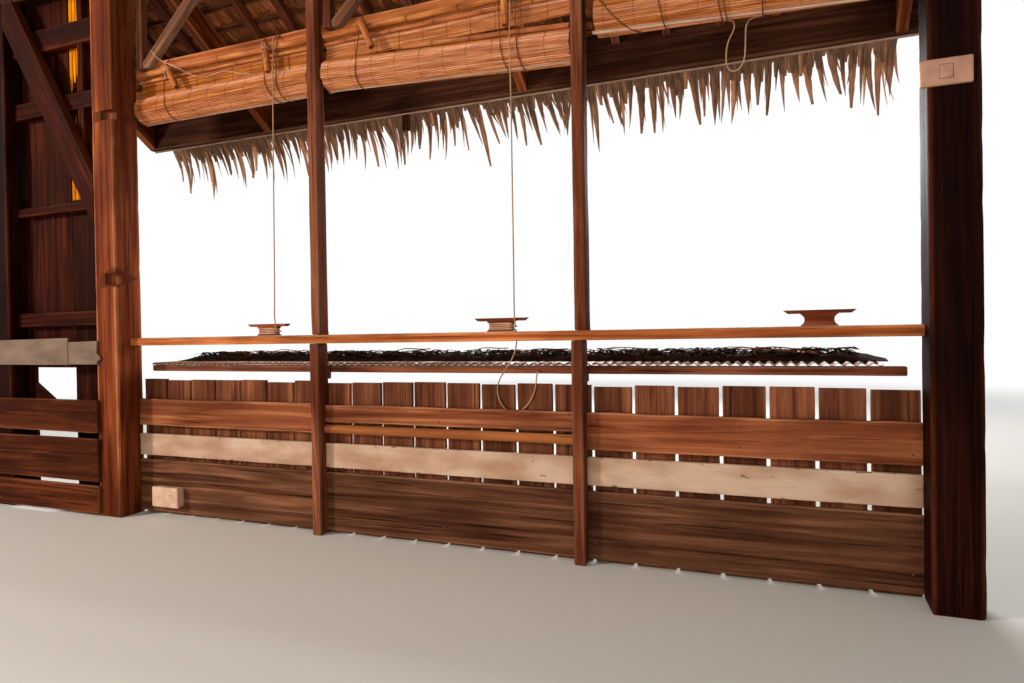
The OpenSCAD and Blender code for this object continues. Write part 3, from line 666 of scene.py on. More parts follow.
def slab(builder, outline, y0, y1, corner=0.003, tint=0.5):
    """A board cut to a convex outline of (x, z) points, between two depths, with eased edges."""
    seed = Vector((draw.uniform(0, 40), draw.uniform(0, 3), draw.uniform(0, 3)))
    centre = Vector((sum(p[0] for p in outline), sum(p[1] for p in outline))) / len(outline)
    longest = max(((Vector(b) - Vector(a)) for a, b in zip(outline, outline[1:] + outline[:1])),
                  key=lambda side: side.length).normalized()
    rings = [(y0, 0.012, 0), (y0, corner, 1), (y0 + corner, 0, 1), (y1 - corner, 0, 1), (y1, corner, 1),
             (y1, 0.012, 0)]
    points, wear, grain = [], [], []
    for y, inset, worn in rings:
        for place in outline:
            away = Vector(place) - centre
            flat = Vector(place) - away.normalized() * inset
            points.append(Vector((flat.x, y, flat.y)))
            wear.append(float(worn))
            across = flat.dot(Vector((-longest.y, longest.x)))
            grain.append(Vector((flat.dot(longest), across, y)) + seed)
    builder.add(points, tube_faces(len(rings), len(outline)), grain, tint, wear)


def carve(obj, boxes):
    """Cuts boxes out of a piece and keeps the result as its mesh."""
    for low, high in boxes:
        bpy.ops.mesh.primitive_cube_add(size=1, location=(low + high) / 2)
        cutter = bpy.context.object
        cutter.scale = high - low
        bpy.context.view_layer.update()
        cut = obj.modifiers.new("cut", "BOOLEAN")
        cut.operation = "DIFFERENCE"
        cut.solver = "EXACT"
        cut.object = cutter
        bpy.context.view_layer.objects.active = obj
        bpy.ops.object.modifier_apply(modifier=cut.name)
        bpy.data.objects.remove(cutter)
    obj.data.set_sharp_from_angle(angle=math.radians(30))


def smooth_path(points, step, closed=False):
    """Points along a smooth curve through the given ones, about step apart."""
    points = [Vector(p) for p in points]
    count = len(points)
    path = []
    spans = count if closed else count - 1
    for i in range(spans):
        if closed:
            a, b, c, d = (points[(i + k) % count] for k in (-1, 0, 1, 2))
        else:
            b, c = points[i], points[i + 1]
            a = points[i - 1] if i else b * 2 - c
            d = points[i + 2] if i + 2 < count else c * 2 - b
        pieces = max(1, round((c - b).length / step))
        for k in range(pieces):
            t = k / pieces
            path.append(0.5 * (2 * b + (c - a) * t + (2 * a - 5 * b + 4 * c - d) * t * t
                               + (3 * b - a - 3 * c + d) * t ** 3))
    if not closed:
        path.append(points[-1])
    return path


def frames_along(path, closed=False):
    """Tangent, side and third direction at each point of a path, carried along without twist."""
    count = len(path)
    frames = []
    side = None
    for i, place in enumerate(path):
        before = path[i - 1] if i or closed else place
        after = path[(i + 1) % count] if i + 1 < count or closed else place
        tangent = (after - before).normalized()
        if side is None:
            side = tangent.cross(Vector((0.31, 0.22, 0.92))).normalized()
        side = (side - side.dot(tangent) * tangent).normalized()
        frames.append((tangent, side, tangent.cross(side)))
    return frames


def rope(builder, path, diameter, lay=4.2, strands=3, closed=False, tint=0.5):
    """Twisted strands laid round a path; each strand shows as a lobe that turns along it."""
    sides = strands * 4
    points, wear = [], []
    travelled = 0.0
    for i, (place, (_, side, third)) in enumerate(zip(path, frames_along(path, closed))):
        if i:
            travelled += (place - path[i - 1]).length
        turn = 2 * math.pi * travelled / (lay * diameter)
        for k in range(sides):
            angle = 2 * math.pi * k / sides
            lobe = abs(math.cos(strands * (angle - turn) / 2))
            radius = diameter / 2 * (0.74 + 0.26 * lobe)
            points.append(place + radius * (side * math.cos(angle) + third * math.sin(angle)))
            # The lay between the strands gets the highest wear value, which the fibre material shows
            # darker.
            wear.append(1 - lobe)
    builder.add(points, tube_faces(len(path), sides, closed), None, tint, wear)


def round_bar(builder, stations, sides=16, bore=0.0, tint=0.5, seed=0.0):
    """A bar or tube from (place, radius, wear) stations; with a bore its ends show the hollow."""
    points, grain, wear = [], [], []
    _, side, third = frames_along([stations[0][0], stations[-1][0]])[0]
    travelled = 0.0
    rings = list(stations)
    if bore:
        first, last = stations[0], stations[-1]
        deep = (last[0] - first[0]).normalized() * bore * 1.5
        rings = ([(first[0] + deep, bore, 1.0), (first[0], bore, 0.5)] + list(stations)
                 + [(last[0], bore, 0.5), (last[0] - deep, bore, 1.0)])
    last_place = rings[0][0]
    for place, radius, worn in rings:
        travelled += (place - last_place).length
        last_place = place
        for k in range(sides):
            angle = 2 * math.pi * k / sides
            u, v = radius * math.cos(angle), radius * math.sin(angle)
            points.append(place + side * u + third * v)
            grain.append(Vector((travelled + seed, u + seed, v)))
            wear.append(worn)
    builder.add(points, tube_faces(len(rings), sides), grain, tint, wear)


# How far a rod thicker than THIN_ROD_R bows out of line, and its bore as a share of its radius
ROD_BOW = 0.00075
THIN_ROD_R = 0.008
ROD_BORE = 0.6


def bamboo_rod(builder, start, end, radius, node_spacing, tint, sides=16):
    """A bamboo culm: it thins and swells at each joint, with a dark groove and a ridge round it."""
    start, end = Vector(start), Vector(end)
    axis = (end - start)
    length = axis.length
    axis.normalize()
    joints = []
    place = draw.uniform(0.3, 0.9) * node_spacing
    while place < length - 0.02:
        joints.append(place)
        place += node_spacing * draw.uniform(0.85, 1.15)
    marks = {0.0, length}
    for joint in joints:
        marks |= {joint + shift for shift in (-0.012, -0.004, -0.0015, 0.0, 0.002, 0.006, 0.016)}
    for k in range(1, max(2, round(length / 0.05))):
        marks.add(k * 0.05)
    marks = sorted(m for m in marks if 0 <= m <= length)
    side = axis.cross(Vector((0.2, 0.3, 0.9))).normalized()
    phase = draw.uniform(0, 6)
    stations = []
    for mark in marks:
        near = min((mark - joint for joint in joints), key=abs, default=1.0)
        if abs(near) >= 0.017:
            swell, worn = 0.90, 0.0
        else:
            swell = 1.0 if -0.001 < near < 0.0065 else 0.93
            swell = 0.885 if -0.003 < near < -0.001 else swell
            worn = 0.95 if -0.003 < near < 0.003 else 0.15
        bow = ROD_BOW * math.sin(3 * math.pi * mark / max(length, 0.3) + phase) * (radius > THIN_ROD_R)
        stations.append((start + axis * mark + side * bow, radius * swell, worn))
    round_bar(builder, stations, sides, radius * ROD_BORE, tint, draw.uniform(0, 20))


def ribbon(builder, path, across, widths, fold, tint, wear=0.0):
    """A leaf: a strip along a path, folded up along its middle, with a width at each station."""
    points, grain, worn = [], [], []
    travelled = 0.0
    shift = draw.uniform(0, 30)
    for i, (place, side, width) in enumerate(zip(path, across, widths)):
        if i:
            travelled += (place - path[i - 1]).length
        ahead = (path[min(i + 1, len(path) - 1)] - path[max(i - 1, 0)]).normalized()
        up = ahead.cross(side)
        half = side * width / 2
        points += [place - half, place + up * fold * width, place + half]
        grain += [Vector((travelled, -width / 2 + shift, 0)), Vector((travelled, shift, 0)),
                  Vector((travelled, width / 2 + shift, 0))]
        worn += [wear[i] if isinstance(wear, list) else wear] * 3
    faces = []
    for i in range(len(path) - 1):
        a, b = 3 * i, 3 * i + 3
        faces += [(a, a + 1, b + 1, b), (a + 1, a + 2, b + 2, b + 1)]
    builder.add(points, faces, grain, tint, worn)


def nail_head(builder, place, normal, radius=0.0035):
    """A flat-topped nail head that stands a little proud."""
    normal = Vector(normal)
    side = normal.orthogonal().normalized()
    third = normal.cross(side)
    points = []
    for lift, reach in ((-0.001, 1.0), (0.0006, 1.0), (0.0011, 0.8)):
        for k in range(8):
            angle = math.pi * k / 4
            points.append(Vector(place) + normal * lift + radius * reach
                          * (side * math.cos(angle) + third * math.sin(angle)))
    builder.add(points, tube_faces(3, 8))


# Cords: the routes that part.scad gives, in metres

def metres(points):
    """Points in metres from points in millimetres."""
    return [Vector(p) * MM for p in points]


LEFT_CORD = metres([
    (845, 64, 1966), (845, 56, 1966), (845, 44, 1958), (846, 36, 1946), (846, 34, 1932),
    (847, 33, 1900), (847, 30, 1850), (848, 25, 1810), (849, 23, 1785), (850, 22, 1750),
    (850, 21, 1690), (851, 18, 1577), (853, 13, 1400), (855, 8, 1200), (857, 3, 1010),
    (859, -2, 900), (861, -6, 850), (865, -7, 818), (869, -5, 800), (872, 3, 790), (872, 13, 788),
    (866, 25, 788), (857, 31, 788), (840, 32, 788), (800, 31, 789), (774, 32, 786), (754, 37, 779),
    (748, 46, 774), (766, 53, 773.6), (800, 55, 773.6), (840, 54, 773.6)
])
MIDDLE_CORD = metres([
    (1858, 64, 1966), (1858, 56, 1966), (1858, 44, 1958), (1858, 36, 1946), (1858, 34, 1932),
    (1858, 33, 1900), (1858, 30, 1850), (1858, 26, 1810), (1858, 23, 1780), (1858, 22, 1740),
    (1859, 21, 1680), (1862, 18, 1550), (1864, 13, 1390), (1866, 8, 1200), (1868, 3, 1010),
    (1870, -3, 890), (1871, -6, 845), (1872, -7, 818), (1872, -5, 800), (1872, 3, 790),
    (1871, 13, 788), (1866, 25, 788), (1857, 32, 787), (1849, 40, 784), (1847, 50, 780),
    (1848, 58, 777), (1849, 63.5, 775.5), (1850, 66.4, 769), (1850, 66, 740), (1846, 65, 710),
    (1834, 65, 680), (1812, 65, 645), (1788, 65, 610), (1776, 65, 580), (1776, 65, 550),
    (1788, 64, 520), (1808, 64, 498), (1836, 64, 488), (1864, 64, 496), (1890, 64, 520),
    (1908, 65, 550), (1917, 65, 580), (1920, 66, 598), (1921, 71, 618), (1922, 79, 632),
    (1922, 87, 632)
])
RIGHT_CORD = metres([
    (2547, 124, 1739.7), (2554, 124, 1739.5), (2567, 124, 1737), (2577, 124, 1729),
    (2579, 123, 1715), (2574, 121, 1698), (2564, 119, 1678), (2557, 118, 1656), (2554, 118, 1632),
    (2554, 118, 1606), (2559, 118, 1588), (2568, 118, 1577), (2580, 118, 1575), (2593, 118, 1581),
    (2603, 118, 1595), (2609, 118, 1616), (2611, 118, 1642), (2612, 119, 1672), (2613, 121, 1700),
    (2617, 123, 1719), (2626, 124, 1730), (2640, 124, 1734.5), (2654, 124, 1735.3),
    (2662, 124, 1735.3)
])
LOOSE_STRING = metres([
    (196, 34, 2008), (196, 26, 2008), (208, 18, 1999), (230, 15, 1977), (257, 14, 1954),
    (300, 14, 1932), (338, 16, 1914), (366, 27, 1898), (392, 44, 1882), (420, 56, 1873),
    (458, 66, 1867), (505, 69, 1873), (556, 69.5, 1877), (598, 69.5, 1868), (638, 69.5, 1856),
    (694, 69.5, 1843), (724, 69.5, 1837)
])
PULL_CORD_D = 0.005
STRING_D = 0.004
ROPE_STEP = 0.0028


def make_cord(name, points, diameter, material, node):
    """A free cord that is tied at its first point."""
    path = smooth_path(points, ROPE_STEP)
    builder = Builder()
    rope(builder, path, diameter)
    cord = builder.piece(name, material, "rope", [node], sharp=80)


def make_cords(fibre, pink_fibre):
    """The three pull cords and the loose string."""
    make_cord("left_pull_cord_rope", LEFT_CORD, PULL_CORD_D, fibre, "left_pull_cord")
    make_cord("middle_pull_cord_rope", MIDDLE_CORD, PULL_CORD_D, fibre, "middle_pull_cord")
    make_cord("right_pull_cord_rope", RIGHT_CORD, PULL_CORD_D, fibre, "right_pull_cord")
    make_cord("loose_string_rope", LOOSE_STRING, STRING_D, pink_fibre, "loose_string")


# Posts and frame

MORTISE_X = [-0.004, 0.003]
MORTISE_Z = [1.707, 1.000]
MORTISE_H = [0.041, 0.050]
MORTISE_D = [0.026, 0.032]


def make_posts(worn_post, post_dark_and_painted_shade):
    """The three posts; the left one has two old mortises cut through its inner right corner."""
    # The right post and the end post take a wood that is dark in itself and darkened further by painted
    # shade.
    for name, material in (("left_post", worn_post), ("right_post", post_dark_and_painted_shade), ("end_post", post_dark_and_painted_shade)):
        builder = Builder()
        box_timber(builder, *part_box(name), "Z", tint=0.6, corner=0.006, rough=0.0016, step=0.045)
        post = builder.piece(name + "_timber", material, "post_wood", [name])
        if name == "left_post":
            face = LEFT_POST[0].y
            carve(post, [(Vector((x, face - 0.02, z)), Vector((LEFT_POST[1].x + 0.02, face + d, z + h)))
                         for x, z, h, d in zip(MORTISE_X, MORTISE_Z, MORTISE_H, MORTISE_D)])


BRACE_ANGLE = math.radians(43)
BRACE_W = 0.038
BRACE_OUT = 0.012
# How far a mullion's lower piece, behind the rail, runs up into the upper one
MULLION_LAP = 0.01


def make_frame_timbers(red, orange, dark, weathered):
    """The wall plate, sill rail, headers, mullions, studs and small braces."""
    for node, axis, material, slot in (
            ("wall_plate", "X", dark, "roof_wood"), ("sill_rail", "X", orange, "rail_wood"),
            ("header_planks", "X", orange, "rail_wood"), ("lower_studs", "Z", red, "frame_wood"),
            ("head_studs", "Z", red, "frame_wood")):
        timber_node(node, axis, material, slot, tints=(0.35, 0.75))
    builder = Builder()
    for low, high in solids("mullions"):
        rail_top = RAIL[1].z
        box_timber(builder, Vector((low.x, low.y, rail_top)), high, "Z", tint=0.6, corner=0.005)
        lap_high = Vector((high.x, high.y, rail_top + MULLION_LAP))
        box_timber(builder, Vector((low.x, RAIL[1].y, low.z)), lap_high, "Z", tint=0.6, corner=0.002)
    builder.piece("mullions_timber", red, "frame_wood", ["mullions"])
    builder = Builder()
    climb = math.tan(BRACE_ANGLE)
    width = BRACE_W / math.sin(BRACE_ANGLE)
    for low, high in solids("head_braces"):
        foot_x = high.x - (high.z - low.z) / climb
        slab(builder, [(low.x, low.z), (foot_x, low.z), (high.x, high.z), (high.x - width, high.z),
                       (low.x, HEADER[1].z - BRACE_OUT * climb)], low.y, high.y, tint=0.6)
    builder.piece("head_braces_timber", weathered, "rail_wood", ["head_braces"])


# Blinds

TURNS = 5
TURN_PITCH = 0.0078
ROLL_END = math.radians(-40)
STITCH_D = 0.0016
FIRST_STITCH = 0.035
STITCH_PITCH = 0.097
# The slats lie a little closer in the roll than in the mat
ROLLED_PITCH = SLAT_PITCH * 0.93
# The pale lath that stiffens each mat's lower end: its width, how far it sticks out at the left,
# and its place round the roll at both ends, in degrees
LATH_WIDTH = [0.008, 0.011, 0.014]
LATH_OUT = [-0.002, -0.002, 0.010]
LATH_ANGLES = [(-84, -96), (-86, -108), (-116, -92)]


def roll_radius(angle):
    """Radius of the mat's middle at an angle wound back from its free end: each turn steps inwards."""
    turn = angle / (2 * math.pi)
    whole = math.floor(turn)
    step = clamp((turn - whole) / 0.1)
    step = step * step * (3 - 2 * step)
    return ROLL_R - 0.0028 - TURN_PITCH * (whole - 1 + step if whole else 0)


def on_roll(i, x, angle, radius):
    """The point at x that lies radius from blind i's roll axis, at an angle in Y and Z."""
    return Vector((x, ROLL_Y + radius * math.cos(angle), roll_z(i, x) + radius * math.sin(angle)))


def slat(builder, i, y, z_at, normal, tint, spans, half=0.0031, shorten=0.0):
    """One split bamboo slat of blind i, half round, as long as the mat, wandering a little in height.

    normal gives the direction that its skin faces, in Y and Z.
    """
    x0 = BLIND_LEFT[i] + abs(draw.gauss(0, 0.0016)) + shorten
    x1 = BLIND_RIGHT[i] - abs(draw.gauss(0, 0.0016)) - shorten
    out = Vector((0, normal[0], normal[1]))
    along = Vector((0, -normal[1], normal[0]))
    thick = draw.uniform(0.0022, 0.0030)
    half *= draw.uniform(0.93, 1.0)
    phase = draw.uniform(0, 6)
    joints = [draw.uniform(x0, x1) for _ in range(3)]
    profile = [(-1, -0.5), (-0.8, 0.35), (0, 1.0), (0.8, 0.35), (1, -0.5), (0, -0.8)]
    points, grain, wear, tints = [], [], [], []
    seed = draw.uniform(0, 30)
    change = draw.uniform(x0, x1)
    for s in range(spans + 1):
        x = lerp(x0, x1, s / spans)
        wander = 0.0005 * math.sin(x * 9 + phase) + 0.0003 * math.sin(x * 31 + 2 * phase)
        at_joint = min(abs(x - joint) for joint in joints) < 0.6 * (x1 - x0) / spans
        for u, v in profile:
            y_z = out * (v * thick * (1.12 if at_joint else 1)) + along * (u * half + wander)
            points.append(Vector((x, y + y_z.y, z_at(x) + y_z.z)))
            grain.append(Vector((x + seed, u * half + seed, v * thick)))
            wear.append(0.35 if at_joint and v > 0.9 else 0.3 * (abs(u) > 0.9))
            tints.append(clamp(tint + (0.1 if x > change else 0)))
    builder.add(points, tube_faces(spans + 1, len(profile)), grain, tints, wear)


def mat_low(i, x):
    """Height at x where blind i's mat goes over into the roll."""
    return roll_z(i, x) + ROLL_R - 0.012


def hang_mat(builder, i):
    """The slats of the mat that hangs from the header; gives the last one's tone."""
    rows = math.floor((HEADER[0].z - mat_low(i, BLIND_LEFT[i])) / SLAT_PITCH)
    tone = 0.5
    for k in range(rows):
        top = HEADER[0].z - 0.0035 - k * SLAT_PITCH
        tone = clamp(lerp(tone, draw.gauss(0.34, 0.26), 0.6))
        side = 1 if draw.random() < 0.75 else -1
        if top - SLAT_PITCH < mat_low(i, BLIND_LEFT[i]) and k > rows - 2:
            continue
        slat(builder, i, MAT_Y + draw.uniform(-0.0006, 0.0006), lambda x, z=top: z, (-side, 0), tone, 20,
             half=0.0036)
    return tone


def wind_roll(builder, i, tone):
    """The slats of the roll, from its free end inwards; the outer turn's are paler and set closer."""
    angle = 0.0
    while angle < TURNS * 2 * math.pi:
        radius = roll_radius(angle)
        facing = ROLL_END + angle
        outer = angle < 2.2 * math.pi
        tone = clamp(lerp(tone, draw.gauss(0.60 if outer else 0.45, 0.24), 0.6))
        cos, sin = math.cos(facing), math.sin(facing)
        slat(builder, i, ROLL_Y + radius * cos, lambda x, r=radius, s=sin: roll_z(i, x) + r * s,
             (cos, sin), tone, 20 if outer else 4, shorten=0.0 if outer else draw.uniform(0, 0.003))
        angle += ROLLED_PITCH / radius


def stitch(stitches, i):
    """Threads across the slats: one turn round the roll, and one line on each face of the mat."""
    x = BLIND_LEFT[i] + FIRST_STITCH
    while x < BLIND_RIGHT[i] - 0.02:
        lean = draw.uniform(-0.004, 0.004)
        path = []
        step = ROLLED_PITCH / ROLL_R / 2
        for k in range(math.floor(2 * math.pi / step)):
            turn = k * step
            radius = ROLL_R + (0.0004 if k % 2 else -0.0020)
            at = x + lean * math.sin(turn * 0.5) + draw.uniform(-0.0004, 0.0004)
            path.append(on_roll(i, at, ROLL_END + turn, radius))
        rope(stitches, path, STITCH_D, strands=1, tint=0.3)
        for face in (-1, 1):
            path = []
            z = HEADER[0].z - 0.002
            k = 0
            while z > mat_low(i, x):
                bulge = 0.0034 if k % 2 else 0.0018
                path.append(Vector((x + draw.uniform(-0.0004, 0.0004), MAT_Y + face * bulge, z)))
                z -= SLAT_PITCH / 2
                k += 1
            if len(path) > 3:
                rope(stitches, path, STITCH_D, strands=1, tint=0.3)
        x += STITCH_PITCH + draw.uniform(-0.003, 0.003)


def make_blind(i, name, skin, thread, lath):
    """The hanging mat, the roll with its turns, the stitches across the slats and the end lath."""
    builder, stitches, ends = Builder(), Builder(), Builder()
    wind_roll(builder, i, hang_mat(builder, i))
    builder.piece(name + "_slats", skin, "bamboo", [name])
    stitch(stitches, i)
    stitches.piece(name + "_stitching", thread, "rope")
    x0, x1 = BLIND_LEFT[i] - LATH_OUT[i], BLIND_RIGHT[i] - 0.002
    places = [on_roll(i, x, math.radians(angle), ROLL_R) for x, angle in zip((x0, x1), LATH_ANGLES[i])]
    facing = math.radians(sum(LATH_ANGLES[i]) / 2)
    Timber(places[0], places[1], (0, -math.sin(facing), math.cos(facing)), LATH_WIDTH[i], 0.005,
           corner=0.0015, rough=0.0006, step=0.04).add_to(ends, 0.8)
    ends.piece(name + "_end_lath", lath, "bamboo")


STICK_X = [1.419, 2.058]
STICK_D = 0.020
TOGGLE_X = [[0.304, 0.812], [1.281, 1.838], [2.316, 2.606]]
TOGGLE_TILT = [[30, 6], [24, 2], [18, 6]]
TOGGLE_MID_Z = [[1.879, 1.875], [1.886, 1.873], [1.900, 1.900]]
TOGGLE_Y = 0.032
TOGGLE_R = 0.013
TOGGLE_H = 0.112
SLING_D = 0.004
# One turn of cord has slipped aslant over the left end of the right roll
LOOSE_TURN_X = (2.158, 2.292)
# The hitches sit this far above a toggle's middle; the bow's points are from the last turn, in mm
KNOT_UP = 0.034
KNOT_BOW = [(4, -5, 7), (14, -7, 13), (24, -5, 8), (22, -3, -2), (12, -5, -4), (8, -8, -12),
            (14, -8, -28), (12, -8, -44)]
# The cleats' necks, as part.scad cuts them
NECK_HALF = 0.039
NECK_R = 0.017
NECK_Z = 0.018
WINDING_COUNT = 4
# Where each sling crosses the header plank's front edge and the underside of the roll
SLING_TOP_X = [[0.254, 0.780, 0.854], [1.244, 1.808, 1.870], [2.346, 2.520, 2.532, 2.664]]
SLING_LOW_X = [[0.272, 0.828, 0.868], [1.226, 1.832, 1.890], [2.371, 2.545, 2.560, 2.664]]


def make_rods(skin):
    """The head rod and thin rod before each mat, and the loose stick on the middle roll."""
    builder = Builder()
    for i in range(3):
        bamboo_rod(builder, (BLIND_LEFT[i], HEAD_ROD_Y, HEAD_ROD_Z),
                   (BLIND_RIGHT[i], HEAD_ROD_Y, HEAD_ROD_Z), HEAD_ROD_R, 0.24, 0.62)
        bamboo_rod(builder, (BLIND_LEFT[i], EDGE_ROD_Y, EDGE_ROD_Z),
                   (BLIND_RIGHT[i], EDGE_ROD_Y, EDGE_ROD_Z), EDGE_ROD_R, 0.19, 0.7, sides=12)
    y = MAT_Y - 0.003 - STICK_D / 2
    up = math.sqrt((ROLL_R + STICK_D / 2) ** 2 - (ROLL_Y - y) ** 2) + 0.001
    ends = [Vector((x, y, roll_z(1, x) + up)) for x in STICK_X]
    bamboo_rod(builder, ends[0], ends[1], STICK_D / 2, 0.17, 0.85, sides=14)
    builder.piece("blind_rods_bamboo", skin, "bamboo", ["blind_rods"])


# A toggle from its lower to its upper end: place along it, radius and wear, with its joint below
TOGGLE_PROFILE = [
    (-0.5, 0.93, 0.5), (-0.49, 0.99, 0.2), (-0.28, 0.97, 0), (-0.26, 1.0, 0.2), (-0.245, 1.11, 0.3),
    (-0.225, 1.11, 0.2), (-0.215, 0.97, 0.8), (-0.19, 0.98, 0.1), (0, 0.96, 0), (0.25, 0.97, 0),
    (0.49, 0.99, 0.2), (0.5, 0.93, 0.5)
]
TOGGLE_BORE_R = 0.0085


def toggle_axes(tilt):
    """Directions along a toggle that leans by tilt degrees, and across it to the right."""
    lean = math.radians(tilt)
    return Vector((-math.sin(lean), 0, math.cos(lean))), Vector((math.cos(lean), 0, math.sin(lean)))


def make_toggles(skin):
    """Short bamboo tubes with a swollen joint, which lean on the head rods."""
    builder = Builder()
    for i in range(3):
        for x, tilt, z in zip(TOGGLE_X[i], TOGGLE_TILT[i], TOGGLE_MID_Z[i]):
            axis, _ = toggle_axes(tilt)
            middle = Vector((x, TOGGLE_Y, z))
            stations = [(middle + axis * TOGGLE_H * t, TOGGLE_R * r, w) for t, r, w in TOGGLE_PROFILE]
            round_bar(builder, stations, 24, bore=TOGGLE_BORE_R, tint=draw.uniform(0.45, 0.7), seed=x)
    builder.piece("blind_toggles_bamboo", skin, "bamboo", ["blind_toggles"])


def sling_path(i, top_x, low_x):
    """A closed loop: round the roll from front to back, over the header and before the head rod."""
    grow = SLING_D / 2 + 0.0003
    radius = ROLL_R + grow
    low = roll_z(i, low_x) - radius
    span = HEADER[1].z - low
    points = []
    for k in range(29):
        angle = math.radians(174 + 195 * k / 28)
        points.append((ROLL_Y + radius * math.cos(angle), roll_z(i, low_x) + radius * math.sin(angle)))
    points.append((HEADER[1].y + grow, HEADER[1].z - 0.012))
    points.append((HEADER[1].y - 0.004, HEADER[1].z + grow))
    points.append((HEADER[0].y + 0.008, HEADER[1].z + grow))
    points.append((HEADER[0].y - grow, HEADER[1].z - 0.008))
    for angle in (140, 160, 180, 200):
        reach = HEAD_ROD_R + grow
        points.append((HEAD_ROD_Y + reach * math.cos(math.radians(angle)),
                       HEAD_ROD_Z + reach * math.sin(math.radians(angle))))
    path = []
    for y, z in points:
        drop = clamp((HEADER[1].z - z) / span)
        share = drop ** 2 if y < ROLL_Y - 0.01 else 1.0
        path.append(Vector((lerp(top_x, low_x, share), y, z)))
    return path


def make_slings(fibre):
    """The closed loops that hold the rolls, and the turn that has slipped over the right roll."""
    builder = Builder()
    for i in range(3):
        for top_x, low_x in zip(SLING_TOP_X[i], SLING_LOW_X[i]):
            path = smooth_path(sling_path(i, top_x, low_x), 0.003, closed=True)
            rope(builder, path, SLING_D, strands=3, closed=True)
    path = []
    for k in range(17):
        t = k / 16
        angle = math.radians(lerp(112, 276, t))
        x = lerp(LOOSE_TURN_X[0], LOOSE_TURN_X[1], t ** 1.4)
        path.append(on_roll(2, x, angle, ROLL_R + SLING_D / 2))
    rope(builder, smooth_path(path, 0.003), SLING_D, strands=3)
    builder.piece("blind_slings_rope", fibre, "rope", ["blind_slings"], sharp=80)


def make_knots(fibre):
    """The hitch on each of the left blind's toggles: turns round it, a bow and a hanging end."""
    builder = Builder()
    reach = TOGGLE_R + STRING_D / 2
    for x, tilt, z in zip(TOGGLE_X[0], TOGGLE_TILT[0], TOGGLE_MID_Z[0]):
        axis, side = toggle_axes(tilt)
        start = Vector((x, TOGGLE_Y, z)) + axis * KNOT_UP
        path = []
        for k in range(25):
            angle = 2 * math.pi * k / 10
            path.append(start + axis * STRING_D * 1.05 * k / 10
                        + reach * (side * math.cos(angle) - Y_AXIS * math.sin(angle)))
        last = path[-1]
        path += [last + Vector(shift) * MM for shift in KNOT_BOW]
        rope(builder, smooth_path(path, 0.002), STRING_D * 0.8, strands=3)
    builder.piece("toggle_hitches", fibre, "rope", sharp=80)


def make_windings(fibre):
    """Turns of cord wound round the neck of the left and the middle cleat."""
    builder = Builder()
    for low, high in solids("cleats")[:2]:
        middle = Vector(((low.x + high.x) / 2, (low.y + high.y) / 2, low.z))
        for k in range(WINDING_COUNT):
            climb = 0.010 + 0.0052 * k
            notch = NECK_R - math.sqrt(NECK_R ** 2 - (climb - NECK_Z) ** 2)
            half = Vector((NECK_HALF + notch + PULL_CORD_D / 2, (high.y - low.y + PULL_CORD_D) / 2, 0))
            path = []
            for step in range(24):
                angle = 2 * math.pi * step / 24
                squared = [math.copysign(abs(v) ** 0.45, v) for v in (math.cos(angle), math.sin(angle))]
                path.append(middle + Vector((half.x * squared[0], half.y * squared[1],
                                             climb + 0.0016 * math.sin(angle + k))))
            rope(builder, smooth_path(path, 0.003, closed=True), PULL_CORD_D, closed=True)
    builder.piece("cleat_windings", fibre, "rope", sharp=80)


# Roof

ROOF_NORMAL = Vector((0, math.sin(PITCH), math.cos(PITCH)))


def slope_point(x, y, d):
    """The point of the roof's level d at x and y."""
    return Vector((x, y, roof_z(y, d)))


def slope_timber(builder, x, y0, y1, low, high, width, **options):
    """A timber down the slope between two levels square to it, cut plumb at both ends."""
    middle = (low + high) / 2
    shear = -math.sin(PITCH) / math.cos(PITCH)
    Timber(slope_point(x, y0, middle), slope_point(x, y1, middle), ROOF_NORMAL, high - low, width,
           shear=(shear, shear), **options).add_to(builder)


def make_rafters(brown, red):
    """Main rafters, the small common rafters on them, and the battens across."""
    builder = Builder()
    for low, high in solids("main_rafters"):
        slope_timber(builder, (low.x + high.x) / 2, low.y, high.y, 0, RAFTER_D, high.x - low.x)
    builder.piece("main_rafters_timber", brown, "roof_wood", ["main_rafters"])
    builder = Builder()
    for low, high in solids("common_rafters"):
        slope_timber(builder, (low.x + high.x) / 2, low.y, high.y, RAFTER_D, RAFTER_D + SMALL_RAFTER,
                     high.x - low.x)
    builder.piece("common_rafters_timber", red, "roof_wood", ["common_rafters"])
    builder = Builder()
    for low, high in solids("roof_battens"):
        y = (low.y + high.y) / 2
        middle = THATCH_BASE - BATTEN_H / 2
        Timber(slope_point(low.x, y, middle), slope_point(high.x, y, middle), ROOF_NORMAL, BATTEN_H,
               (high.y - low.y) * math.cos(PITCH), corner=0.003).add_to(builder)
    builder.piece("roof_battens_timber", brown, "roof_wood", ["roof_battens"])


COURSE = 0.105
LEAF_PITCH = 0.037
LEAF_LENGTH = 0.31
# How far the first lath keeps in from the thatch's inner edge
FIRST_LATH_IN = 0.012


def thatch_laths(builder, start):
    """The laths that hold a course of leaves, one on each half of the roof."""
    low, high = THATCH
    y = low.y + max(start, FIRST_LATH_IN) * math.cos(PITCH)
    for x0 in (low.x + 0.01, (low.x + high.x) / 2):
        x1 = x0 + (high.x - low.x) / 2 - 0.012
        Timber(slope_point(x0, y, THATCH_BASE + 0.004), slope_point(x1, y, THATCH_BASE + 0.004),
               ROOF_NORMAL, 0.006, 0.014, corner=0.0015, rough=0.0008, step=0.15).add_to(builder)


